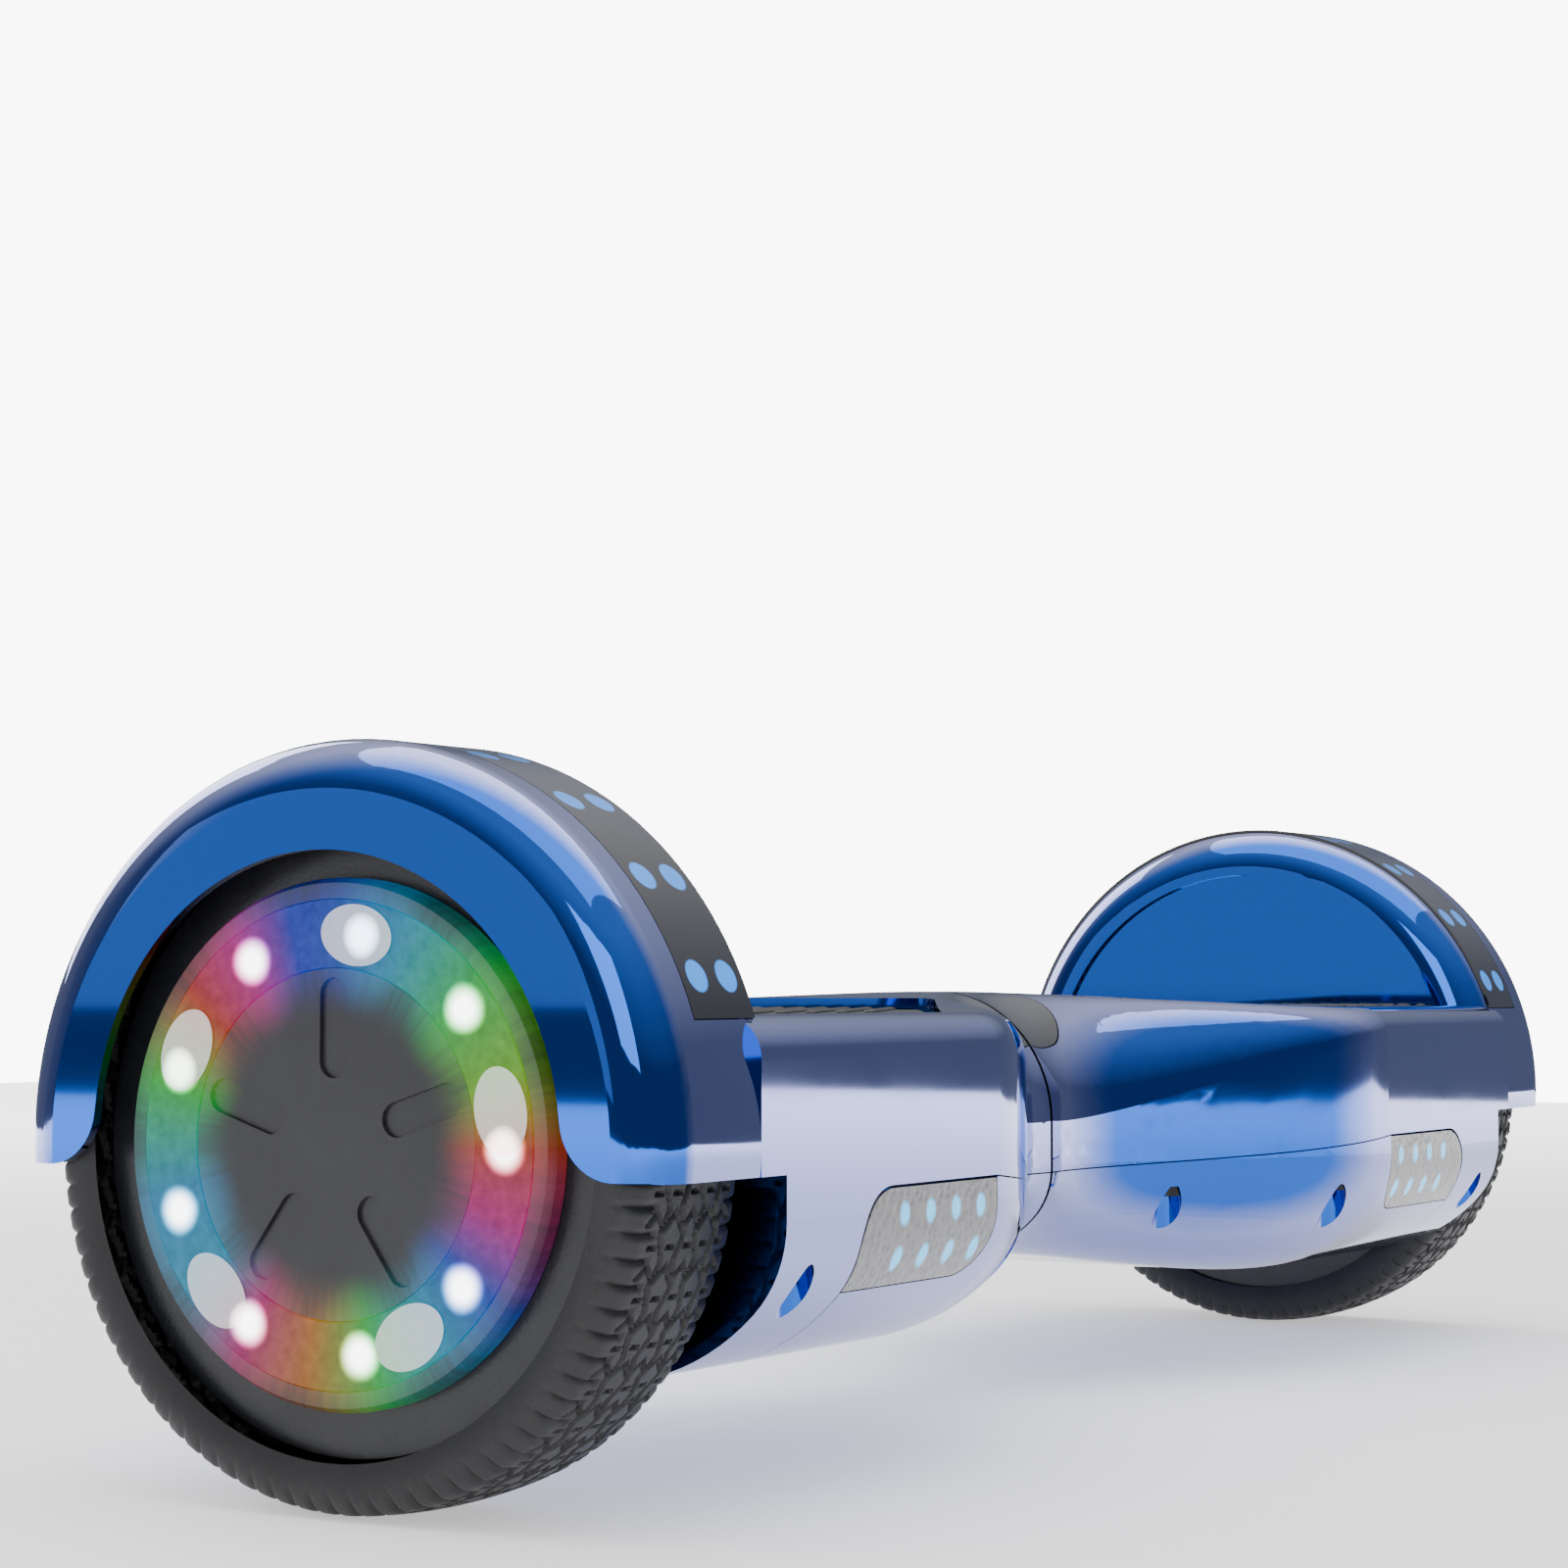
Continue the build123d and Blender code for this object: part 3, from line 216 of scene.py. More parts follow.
def wheel_polar(tree, coords, side):
    """Share of a turn clockwise from the top, the angle, and the radius about the axle."""
    _, across, height = axes(tree, coords)
    rise = math_node(tree, "SUBTRACT", height, AXLE_HEIGHT)
    sideways = math_node(tree, "MULTIPLY", across, side)
    angle = math_node(tree, "ARCTAN2", sideways, rise)
    turn = math_node(tree, "FRACT", math_node(tree, "DIVIDE", angle, 2 * math.pi))
    return turn, angle, distance(tree, across, rise)


def hot_spots(tree, angle, radius, count, lead, circle, size):
    """Bright lamps evenly spaced on a circle, from 1 at each lamp to 0 away from it."""
    phase = math_node(tree, "MULTIPLY", math_node(tree, "SUBTRACT", angle, lead), count / (2 * math.pi))
    off = math_node(tree, "SUBTRACT", math_node(tree, "FRACT", math_node(tree, "ADD", phase, 0.5)), 0.5)
    along = math_node(tree, "MULTIPLY", off, 2 * math.pi * circle / count)
    out = math_node(tree, "SUBTRACT", radius, circle)
    return fade(tree, distance(tree, along, out), 0.25 * size, size)


def blend(tree, factor, first, second):
    node = tree.nodes.new("ShaderNodeMix")
    node.data_type = "RGBA"
    tree.links.new(factor, node.inputs["Factor"])
    for socket, value in ((node.inputs[6], first), (node.inputs[7], second)):
        if isinstance(value, tuple):
            socket.default_value = (*value, 1.0)
        else:
            tree.links.new(value, socket)
    return node.outputs[2]


def wheel_light(side, settings):
    """Glowing ring with coloured lamps and pale petals."""
    material, tree, shader, coords = new_material(f"wheel_light_{'left' if side < 0 else 'right'}")
    turn, angle, radius = wheel_polar(tree, coords, side)
    colour = ramp(tree, turn, RAINBOW)
    streak = noise(tree, coords, 300.0, 3.0)
    spots = hot_spots(tree, angle, radius, LAMP_COUNT, LAMP_LEAD, RING_CIRCLE, settings.spot_size)
    glowing = blend(tree, spots, colour, (1.0, 1.0, 1.0))
    reach = math_node(tree, "ABSOLUTE", axes(tree, coords)[0])
    proud = math_node(tree, "GREATER_THAN", reach, RING_FACE + PETAL_RISE / 2)
    petal = blend(tree, spread(tree, streak, 0.1, 0.5), (0.9, 0.92, 0.9), colour)
    tree.links.new(blend(tree, proud, glowing, petal), shader.inputs["Emission Color"])
    level = math_node(tree, "ADD", spread(tree, streak, 0.5, 1.1), math_node(tree, "MULTIPLY", spots, 14.0))
    level = math_node(tree, "MULTIPLY", level, settings.glow_strength)
    level = math_node(tree, "MAXIMUM", level, math_node(tree, "MULTIPLY", proud, settings.petal_strength))
    tree.links.new(level, shader.inputs["Emission Strength"])
    dark = ramp(tree, streak, [(0.3, (0.015, 0.015, 0.02)), (0.7, (0.03, 0.03, 0.035))])
    tree.links.new(dark, shader.inputs["Base Color"])
    shader.inputs["Roughness"].default_value = 0.3
    shader.inputs["Specular IOR Level"].default_value = 0.15
    return material


def cover_satin(side, settings):
    """Dark satin cover with the ring's light spilling over it in rays."""
    material, tree, shader, coords = new_material(f"cover_{'left' if side < 0 else 'right'}")
    turn, angle, radius = wheel_polar(tree, coords, side)
    tone = noise(tree, coords, 40.0)
    satin = ramp(tree, tone, [(0.3, (0.010, 0.010, 0.013)), (0.7, (0.018, 0.018, 0.022))])
    tree.links.new(satin, shader.inputs["Base Color"])
    tree.links.new(spread(tree, tone, 0.32, 0.45), shader.inputs["Roughness"])
    off_ring = math_node(tree, "ABSOLUTE", math_node(tree, "SUBTRACT", radius, RING_CIRCLE))
    near = fade(tree, off_ring, 0.004, 0.02)
    around = hot_spots(tree, angle, radius, LAMP_COUNT, LAMP_LEAD, RING_CIRCLE, 0.02)
    ray = noise(tree, ray_coords(tree, angle), 26.0, 3.0)
    level = math_node(tree, "MULTIPLY", near, spread(tree, ray, 0.0, 1.0))
    level = math_node(tree, "ADD", level, math_node(tree, "MULTIPLY", around, 0.7))
    tree.links.new(ramp(tree, turn, RAINBOW), shader.inputs["Emission Color"])
    level = math_node(tree, "MULTIPLY", level, settings.spill_strength)
    tree.links.new(level, shader.inputs["Emission Strength"])
    bump(tree, shader, noise(tree, coords, 1500.0, 2.0), 0.1, 0.0001)
    return material


def ray_coords(tree, angle):
    """Coordinates that change only round the wheel, so noise turns into rays."""
    node = tree.nodes.new("ShaderNodeCombineXYZ")
    tree.links.new(math_node(tree, "COSINE", angle), node.inputs["X"])
    tree.links.new(math_node(tree, "SINE", angle), node.inputs["Y"])
    return node.outputs["Vector"]


def pebbled_lens(settings):
    """Grey pebbled lens with two rows of lamps shining through."""
    material, tree, shader, coords = new_material("headlight_lens")
    along, _, height = axes(tree, coords)
    reach = math_node(tree, "ABSOLUTE", along)
    place = math_node(tree, "DIVIDE", math_node(tree, "SUBTRACT", reach, HEADLAMP_START), HEADLAMP_PITCH)
    off = math_node(tree, "SUBTRACT", math_node(tree, "FRACT", math_node(tree, "ADD", place, 0.5)), 0.5)
    off = math_node(tree, "MULTIPLY", off, HEADLAMP_PITCH)
    rise = math_node(tree, "ABSOLUTE", math_node(tree, "SUBTRACT", height, HEADLAMP_MIDDLE))
    rise = math_node(tree, "MULTIPLY", math_node(tree, "SUBTRACT", rise, HEADLAMP_HALF_ROW), 0.8)
    spot = fade(tree, distance(tree, off, rise), 0.0016, 0.0029)
    inside = math_node(tree, "LESS_THAN", reach, HEADLAMP_START + HEADLAMP_REACH * HEADLAMP_PITCH)
    spot = math_node(tree, "MULTIPLY", spot, inside)
    pebble = cells(tree, coords, 420.0)
    grey = ramp(tree, pebble, [(0.0, (0.07, 0.07, 0.08)), (0.6, (0.17, 0.165, 0.17))])
    tree.links.new(blend(tree, spot, grey, (0.05, 0.5, 0.85)), shader.inputs["Base Color"])
    shader.inputs["Emission Color"].default_value = (0.0, 0.5, 1.0, 1.0)
    level = math_node(tree, "MULTIPLY", spot, settings.lamp_strength)
    tree.links.new(level, shader.inputs["Emission Strength"])
    shader.inputs["Roughness"].default_value = 0.22
    shader.inputs["Coat Weight"].default_value = 0.6
    bump(tree, shader, pebble, 0.5, 0.0004)
    return material


def smoked_lens(settings):
    """Smoked glossy lens with two columns of blue lamps showing through."""
    material, tree, shader, coords = new_material("smoked_lens")
    along, across, height = axes(tree, coords)
    rise = math_node(tree, "SUBTRACT", height, AXLE_HEIGHT)
    angle = math_node(tree, "ARCTAN2", rise, across)
    place = math_node(tree, "DIVIDE", math_node(tree, "SUBTRACT", angle, STRIP_START), STRIP_PITCH)
    off = math_node(tree, "SUBTRACT", math_node(tree, "FRACT", math_node(tree, "ADD", place, 0.5)), 0.5)
    off = math_node(tree, "MULTIPLY", off, STRIP_PITCH * STRIP_RADIUS)
    side = math_node(tree, "SUBTRACT", math_node(tree, "ABSOLUTE", along), STRIP_MIDDLE)
    side = math_node(tree, "SUBTRACT", math_node(tree, "ABSOLUTE", side), STRIP_HALF)
    spot = fade(tree, distance(tree, off, side), STRIP_LAMP - 0.0006, STRIP_LAMP)
    tone = noise(tree, coords, 20.0)
    smoke = ramp(tree, tone, [(0.3, (0.003, 0.003, 0.004)), (0.7, (0.005, 0.005, 0.007))])
    tree.links.new(blend(tree, spot, smoke, (0.02, 0.2, 0.5)), shader.inputs["Base Color"])
    shader.inputs["Emission Color"].default_value = (0.0, 0.24, 1.0, 1.0)
    level = math_node(tree, "MULTIPLY", spot, settings.lamp_strength)
    tree.links.new(level, shader.inputs["Emission Strength"])
    tree.links.new(spread(tree, tone, 0.03, 0.07), shader.inputs["Roughness"])
    shader.inputs["Coat Weight"].default_value = 1.0
    shader.inputs["Coat Roughness"].default_value = 0.02
    return material


def lamp_board(name, board_edge, strength, along=None):
    """Black board whose raised lamps glow: a face further out than board_edge is a lamp."""
    material, tree, shader, coords = new_material(name)
    if along == "Y":
        _, depth, _ = axes(tree, coords)
        out = math_node(tree, "MULTIPLY", depth, -1.0)
    elif along == "X":
        out = math_node(tree, "ABSOLUTE", axes(tree, coords)[0])
    else:
        out = wheel_polar(tree, coords, 1.0)[2]
    lamp = math_node(tree, "GREATER_THAN", out, board_edge)
    tone = noise(tree, coords, 90.0)
    board = ramp(tree, tone, [(0.3, (0.004, 0.005, 0.006)), (0.7, (0.008, 0.01, 0.012))])
    tree.links.new(blend(tree, lamp, board, (0.1, 0.5, 0.8)), shader.inputs["Base Color"])
    shader.inputs["Emission Color"].default_value = (0.0, 0.24, 1.0, 1.0)
    tree.links.new(math_node(tree, "MULTIPLY", lamp, strength), shader.inputs["Emission Strength"])
    tree.links.new(spread(tree, tone, 0.3, 0.45), shader.inputs["Roughness"])
    return material


# ------------------------------------------------------------ sizes worked out from the frame
def node_box(name):
    low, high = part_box(name)
    return Vector(low), Vector(high)


tyre_low, tyre_high = node_box("right_tyre")
ring_low, ring_high = node_box("right_wheel_light_ring")
TYRE_RADIUS = (tyre_high.z - tyre_low.z) / 2
TYRE_HALF_WIDTH = (tyre_high.x - tyre_low.x) / 2
PETAL_RISE = 0.0006
RING_FACE = ring_high.x - PETAL_RISE
RING_INSET = 0.0077  # from the ring's outer edge to the circle of its lamps
RING_CIRCLE = (ring_high.z - ring_low.z) / 2 - RING_INSET
LAMP_COUNT = 9
LAMP_LEAD = math.radians(10.0)  # the first lamp sits this far round from the top

# Places of the lamps, set to agree with part.py
STRIP_RADIUS = TYRE_RADIUS + 0.008
STRIP_START = math.radians(24.27)
STRIP_PITCH = (math.pi - 2 * STRIP_START) / 8
STRIP_MIDDLE = WHEEL_X - 0.006
STRIP_HALF = 0.0061
STRIP_LAMP = 0.0042
HEADLAMP_START = 0.146
HEADLAMP_PITCH = 0.013
HEADLAMP_MIDDLE = 0.0614
HEADLAMP_HALF_ROW = 0.0054
HEADLAMP_REACH = 3.6  # pitches from the first lamp that still hold a lamp
FENDER_BOARD_FACE = 0.0897  # radius about the axle
HEADLIGHT_BOARD_FACE = 0.0785
WHEEL_BOARD_FACE = 0.2825


# ------------------------------------------------------------ tyres
BEAD_DROP = 0.0130
WIDEST_DROP = 0.0070
CROWN_DROP = 0.0008
SHOULDER_WIDTH = 0.006
SIDE_STEPS = 4
LINE_PITCH = 0.0068
LINES = ((-0.0102, 0.5), (-0.0034, 0.0), (0.0034, 0.5), (0.0102, 0.0))
LINE_SWING = 0.0011
LINE_WIDTH = 0.0011
CROSS_WIDTH = 0.0012
SIPE_REACH = 0.0016
SIPE_WIDTH = 0.0010
SHOULDER_CUT_WIDTH = 0.0013
SHOULDER_CUT_REACH = 0.0085


def tyre_profile(settings):
    """Points round the tyre's section: (distance from its middle plane, radius, share of tread)."""
    bead, wide, edge = TYRE_RADIUS - BEAD_DROP, TYRE_RADIUS - WIDEST_DROP, TYRE_RADIUS - CROWN_DROP
    half = TYRE_HALF_WIDTH
    crown = half - SHOULDER_WIDTH
    points = []
    steps = settings.tread_steps
    for step in range(steps + 1):
        x = crown * (2 * step / steps - 1)
        points.append((x, TYRE_RADIUS - CROWN_DROP * (x / crown) ** 2, 1.0))
    shoulder = settings.shoulder_steps
    side = []
    for step in range(1, shoulder + 1):
        turn = math.pi / 2 * step / shoulder
        side.append((crown + (half - crown) * math.sin(turn), wide + (edge - wide) * math.cos(turn), 0.5))
    for step in range(1, SIDE_STEPS + 1):
        share = step / SIDE_STEPS
        side.append((half - 0.0012 * share ** 2, wide + (bead - wide) * share, 0.0))
    return [(-x, r, k) for x, r, k in reversed(side)] + points + side


def groove(offset, width):
    """1 in the middle of a groove and 0 outside it, with soft walls."""
    share = min(max((width / 2 + 0.0004 - abs(offset)) / 0.0008, 0.0), 1.0)
    return share * share * (3 - 2 * share)


def wave(value):
    """Triangle wave between -1 and 1 with a period of 1."""
    return 4 * abs(value - math.floor(value + 0.5)) - 1


def tread_cut(x, turn, kind, settings):
    """How deep the tread is cut at x across and turn round, from 0 to 1."""
    rows = settings.tread_rows
    phase = turn * rows
    cut = 0.0
    if kind == 1.0:
        for line, flip in LINES:
            cut = max(cut, groove(x - line - LINE_SWING * wave(phase + flip), LINE_WIDTH))
        pitch = 2 * math.pi * TYRE_RADIUS / rows
        row = phase + 0.16 * wave(x / LINE_PITCH) + 0.25
        along = (row - math.floor(row + 0.5)) * pitch
        cut = max(cut, 0.85 * groove(along, CROSS_WIDTH))
        middle = (phase + 0.75 - math.floor(phase + 1.25)) * pitch
        inner = abs(x - LINE_PITCH * round(x / LINE_PITCH))
        if inner < SIPE_REACH:
            cut = max(cut, 0.7 * groove(middle, SIPE_WIDTH))
    if kind >= 0.5 and abs(x) > TYRE_HALF_WIDTH - SHOULDER_CUT_REACH:
        pair = phase * 2
        along = (pair - math.floor(pair + 0.5)) * math.pi * TYRE_RADIUS / rows
        cut = max(cut, 0.8 * groove(along, SHOULDER_CUT_WIDTH))
    return cut


def make_tyre(name, middle_x, material, settings):
    """Grid rolled into a tyre, with its tread pressed in."""
    profile = tyre_profile(settings)
    around = settings.tread_rows * settings.steps_per_row
    across = len(profile) - 1
    bpy.ops.object.select_all(action="DESELECT")
    bpy.ops.mesh.primitive_grid_add(x_subdivisions=around, y_subdivisions=across, size=1.0)
    tyre = bpy.context.object
    tyre.name = name
    for vertex in tyre.data.vertices:
        turn = vertex.co.x + 0.5
        x, radius, kind = profile[round((vertex.co.y + 0.5) * across)]
        radius -= settings.tread_depth * tread_cut(x, turn, kind, settings)
        angle = 2 * math.pi * turn
        vertex.co = (middle_x + x, radius * math.sin(angle), AXLE_HEIGHT + radius * math.cos(angle))
    bpy.ops.object.mode_set(mode="EDIT")
    bpy.ops.mesh.select_all(action="SELECT")
    bpy.ops.mesh.remove_doubles(threshold=0.00001)
    bpy.ops.mesh.normals_make_consistent(inside=False)
    bpy.ops.object.mode_set(mode="OBJECT")
    bpy.ops.object.shade_smooth_by_angle(angle=math.radians(40))
    tyre.data.materials.append(material)
    return tyre


# ------------------------------------------------------------ foot pad studs
PAD_ENDS = 0.016
STUD_END_MARGIN = 0.010
STUD_SIDE_MARGIN = 0.012
PAD_TAPER_START = 0.150
PAD_TAPER = 0.58
DOME_FLATNESS = 0.45


def stud_places(name, side, pitch):
    """Centres of the studs inside the pad's outline, in staggered rows."""
    low, high = node_box(f"{name}_foot_pad")
    inner, outer = sorted((abs(low.x), abs(high.x)))
    for column in range(int((outer - inner - PAD_ENDS) / pitch) + 1):
        x = outer - STUD_END_MARGIN - column * pitch
        reach = high.y - STUD_SIDE_MARGIN - max(0.0, PAD_TAPER_START - x) * PAD_TAPER
        shift = pitch / 2 if column % 2 else 0.0
        for row in range(-int(high.y / pitch), int(high.y / pitch) + 1):
            if abs(row * pitch + shift) < reach:
                yield side * x, row * pitch + shift, high.z


def make_studs(name, side, material, settings):
    """Rows of low domes on a foot pad, all copies of one dome."""
    bpy.ops.object.select_all(action="DESELECT")
    bpy.ops.mesh.primitive_uv_sphere_add(segments=12, ring_count=8, radius=settings.stud_radius)
    studs = bpy.context.object
    studs.name = f"{name}_pad_studs"
    dome = [Vector((v.co.x, v.co.y, v.co.z * DOME_FLATNESS)) for v in studs.data.vertices]
    faces = [tuple(p.vertices) for p in studs.data.polygons]
    points, polygons = [], []
    for place in stud_places(name, side, settings.stud_pitch):
        start = len(points)
        points += [point + Vector(place) for point in dome]
        polygons += [tuple(start + corner for corner in face) for face in faces]
    studs.data.clear_geometry()
    studs.data.from_pydata(points, [], polygons)
    studs.data.update()
    bpy.ops.object.shade_smooth()
    studs.data.materials.append(material)
    return studs


class LightSettings(bpy.types.PropertyGroup):
    glow_strength: FloatProperty(name="Glow Strength", description="Light of the wheel ring", default=0.5)
    spill_strength: FloatProperty(name="Spill Strength", description="Light on the wheel cover", default=0.35)
    petal_strength: FloatProperty(name="Petal Strength", description="Light of the petals", default=1.1)
    lamp_strength: FloatProperty(name="Lamp Strength", description="Light of the blue lamps", default=1.0)
    spot_size: FloatProperty(
        name="Spot Size", description="Radius of a lamp's bright spot", default=0.0065, unit="LENGTH",
    )


class TyreSettings(bpy.types.PropertyGroup):
    tread_rows: IntProperty(name="Tread Rows", description="Tread blocks round the tyre", default=44)
    steps_per_row: IntProperty(name="Steps Per Row", description="Mesh steps in one tread block", default=16)
    tread_steps: IntProperty(name="Tread Steps", description="Mesh steps across the tread", default=52)
    shoulder_steps: IntProperty(name="Shoulder Steps", description="Mesh steps round a shoulder", default=8)
    tread_depth: FloatProperty(
        name="Tread Depth", description="Depth of the grooves", default=0.0016, unit="LENGTH",
    )


class PadSettings(bpy.types.PropertyGroup):
    stud_pitch: FloatProperty(
        name="Stud Pitch", description="Distance between studs", default=0.0072, unit="LENGTH",
    )
    stud_radius: FloatProperty(
        name="Stud Radius", description="Radius of a stud", default=0.0018, unit="LENGTH",
    )


class ShellSettings(bpy.types.PropertyGroup):
    facing_colour: FloatVectorProperty(
        name="Facing Colour", description="Plating colour seen square on",
        default=(0.004, 0.085, 0.46), subtype="COLOR",
    )
    # painted reflection: the lavender base colour the plating takes where it is seen at a slant
    slant_reflection_colour: FloatVectorProperty(
        name="Edge Colour", description="Plating colour seen at a slant",
        default=(0.30, 0.34, 0.66), subtype="COLOR",
    )


class StageSettings(bpy.types.PropertyGroup):
    backdrop_strength: FloatProperty(
        name="Backdrop", description="Brightness of the white backdrop", default=9.0,
    )
    floor_colour: FloatVectorProperty(
        name="Floor Colour", description="Colour of the plain floor",
        default=(0.9, 0.9, 0.91), subtype="COLOR",
    )
    floor_size: FloatProperty(name="Floor Size", description="Side of the floor", default=5.2, unit="LENGTH")
    floor_glow: FloatProperty(
        name="Floor Glow", description="Light of the floor under the board", default=0.7,
    )
    far_floor_glow: FloatProperty(
        name="Far Floor Glow", description="Light of the floor's border", default=3.0,
    )
    key_power: FloatProperty(
        name="Key Power", description="Power of the large overhead light", default=22.0, unit="POWER",
    )


class HOVERBOARD_OT_shells(bpy.types.Operator):
    """Plate the shells"""
    bl_idname = "hoverboard.shells"
    bl_label = "Shells"

    def execute(self, context):
        settings = context.scene.hoverboard_shells
        plating = mirror_blue(tuple(settings.facing_colour), tuple(settings.slant_reflection_colour))
        black = ((0.006, 0.006, 0.008), (0.010, 0.010, 0.012))
        gloss = moulded("gloss_black", *black, (0.04, 0.09), depth=0.02, coat=1.0)
        for side, _ in SIDES:
            for piece in ("upper_shell", "lower_shell"):
                dress(frame["nodes"][f"{side}_{piece}"], plating)
            dress(frame["nodes"][f"{side}_centre_cap"], gloss)
        return {"FINISHED"}


class HOVERBOARD_OT_tyres(bpy.types.Operator):
    """Roll the two tyres with their tread"""
    bl_idname = "hoverboard.tyres"
    bl_label = "Tyres"

    def execute(self, context):
        charcoal = ((0.006, 0.006, 0.0065), (0.012, 0.012, 0.013))
        rubber = moulded("tyre_rubber", *charcoal, (0.45, 0.65), 1600.0, 0.3)
        for name, side in SIDES:
            tyre = make_tyre(f"{name}_tread_tyre", side * WHEEL_X, rubber, context.scene.hoverboard_tyres)
            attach(tyre, f"{name}_wheel")
            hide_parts(f"{name}_tyre")
        return {"FINISHED"}


class HOVERBOARD_OT_lights(bpy.types.Operator):
    """Light the wheel rings, headlights and fender lamps"""
    bl_idname = "hoverboard.lights"
    bl_label = "Lights"

    def execute(self, context):
        settings = context.scene.hoverboard_lights
        nodes = frame["nodes"]
        pebbled = pebbled_lens(settings)
        smoked = smoked_lens(settings)
        strip = lamp_board("fender_lamps", FENDER_BOARD_FACE, settings.lamp_strength)
        behind = lamp_board("headlight_lamps", HEADLIGHT_BOARD_FACE, settings.lamp_strength, "Y")
        wheel = lamp_board("wheel_lamps", WHEEL_BOARD_FACE, settings.lamp_strength, "X")
        for name, side in SIDES:
            dress(nodes[f"{name}_wheel_light_ring"], wheel_light(side, settings))
            dress(nodes[f"{name}_wheel_cover"], cover_satin(side, settings))
            dress(nodes[f"{name}_headlight_lens"], pebbled)
            dress(nodes[f"{name}_fender_light_lens"], smoked)
            dress(nodes[f"{name}_fender_led_strip"], strip)
            dress(nodes[f"{name}_headlight_board"], behind)
            dress(nodes[f"{name}_wheel_led_board"], wheel)
        return {"FINISHED"}


class HOVERBOARD_OT_pads(bpy.types.Operator):
    """Stud the foot pads"""
    bl_idname = "hoverboard.pads"
    bl_label = "Foot Pads"

    def execute(self, context):
        rubber = moulded("pad_rubber", (0.012, 0.012, 0.013), (0.026, 0.026, 0.028), (0.4, 0.6), 1100.0, 0.35)
        for name, side in SIDES:
            dress(frame["nodes"][f"{name}_foot_pad"], rubber)
            studs = make_studs(name, side, rubber, context.scene.hoverboard_pads)
            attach(studs, f"{name}_foot_pad")
        return {"FINISHED"}


INNER_FINISHES = {
    "chassis": "cast", "axle_clamp": "cast", "clamp_bolts": "zinc", "shell_screws": "oxide",
    "sensor_boards": "mask", "axle": "zinc", "stator_core": "lamination", "stator_windings": "copper",
    "motor_cover_screws": "oxide", "wheel_bearings": "zinc", "rotor_magnets": "nickel",
    "motor_cover": "grey", "hub_shell": "rim",
}
CENTRE_FINISHES = {
    "pivot_tube": "zinc", "pivot_circlips": "oxide", "pivot_bushes": "bronze", "main_board": "mask",
    "battery_pack": "wrap", "battery_strap": "zinc", "power_switch": "satin", "charge_inlet": "zinc",
    "power_button": "satin", "charge_inlet_cap": "rubber",
}

STEEL = (0.5, 0.5, 0.51), (0.66, 0.66, 0.67)
LAMINATION = (0.2, 0.2, 0.21), (0.35, 0.35, 0.36)
COPPER = (0.35, 0.11, 0.03), (0.55, 0.2, 0.07)
NICKEL = (0.42, 0.41, 0.39), (0.55, 0.54, 0.52)
ALUMINIUM = (0.5, 0.51, 0.52), (0.62, 0.63, 0.64)
OXIDE = (0.02, 0.02, 0.022), (0.04, 0.04, 0.042)
MASK = (0.008, 0.05, 0.02), (0.012, 0.075, 0.03)
BRONZE = (0.3, 0.16, 0.05), (0.42, 0.25, 0.09)
BLUE_WRAP = (0.01, 0.04, 0.22), (0.015, 0.06, 0.3)
WARM_GREY = (0.36, 0.35, 0.33), (0.45, 0.44, 0.42)
SATIN_BLACK = (0.006, 0.0065, 0.009), (0.012, 0.0125, 0.017)
RUBBER = (0.010, 0.010, 0.011), (0.020, 0.020, 0.021)
SATIN_GREY = (0.02, 0.02, 0.023), (0.035, 0.035, 0.04)


def inner_materials():
    """Finishes of the frame, motors, boards and battery, by short name."""
    return {
        "cast": moulded("cast_aluminium", *ALUMINIUM, (0.4, 0.55), metallic=1.0),
        "zinc": brushed("zinc_steel", *STEEL, (0.25, 0.4)),
        "oxide": moulded("black_oxide", *OXIDE, (0.35, 0.5), metallic=1.0),
        "mask": moulded("solder_mask", *MASK, (0.25, 0.4)),
        "lamination": brushed("lamination_steel", *LAMINATION, (0.35, 0.5), (60.0, 1.0, 1.0)),
        "copper": brushed("enamelled_copper", *COPPER, (0.3, 0.4), (40.0, 1.0, 1.0)),
        "nickel": brushed("nickel_plate", *NICKEL, (0.2, 0.3)),
        "bronze": moulded("sintered_bronze", *BRONZE, (0.4, 0.5), metallic=1.0),
        "wrap": moulded("battery_wrap", *BLUE_WRAP, (0.25, 0.4)),
        "grey": moulded("warm_grey_paint", *WARM_GREY, (0.4, 0.5)),
        "rim": moulded("satin_black_paint", *SATIN_BLACK, (0.25, 0.4)),
        "rubber": moulded("black_rubber", *RUBBER, (0.5, 0.75), 1400.0, 0.35),
        "satin": moulded("satin_plastic", *SATIN_GREY, (0.35, 0.45)),
    }


class HOVERBOARD_OT_inner_works(bpy.types.Operator):
    """Finish the frame, motors, boards and battery"""
    bl_idname = "hoverboard.inner_works"
    bl_label = "Inner Works"

    def execute(self, context):
        finishes = inner_materials()
        for side, _ in SIDES:
            for piece, finish in INNER_FINISHES.items():
                dress(frame["nodes"][f"{side}_{piece}"], finishes[finish])
        for piece, finish in CENTRE_FINISHES.items():
            dress(frame["nodes"][piece], finishes[finish])
        return {"FINISHED"}


def area_light(name, place, target, size, power):
    """A square soft light aimed at a target."""
    data = bpy.data.lights.new(name, "AREA")
    data.energy = power
    data.shape = "SQUARE"
    data.size = size
    light = bpy.data.objects.new(name, data)
    bpy.context.scene.collection.objects.link(light)
    light.location = place
    light.rotation_euler = (Vector(target) - Vector(place)).to_track_quat("-Z", "Y").to_euler()


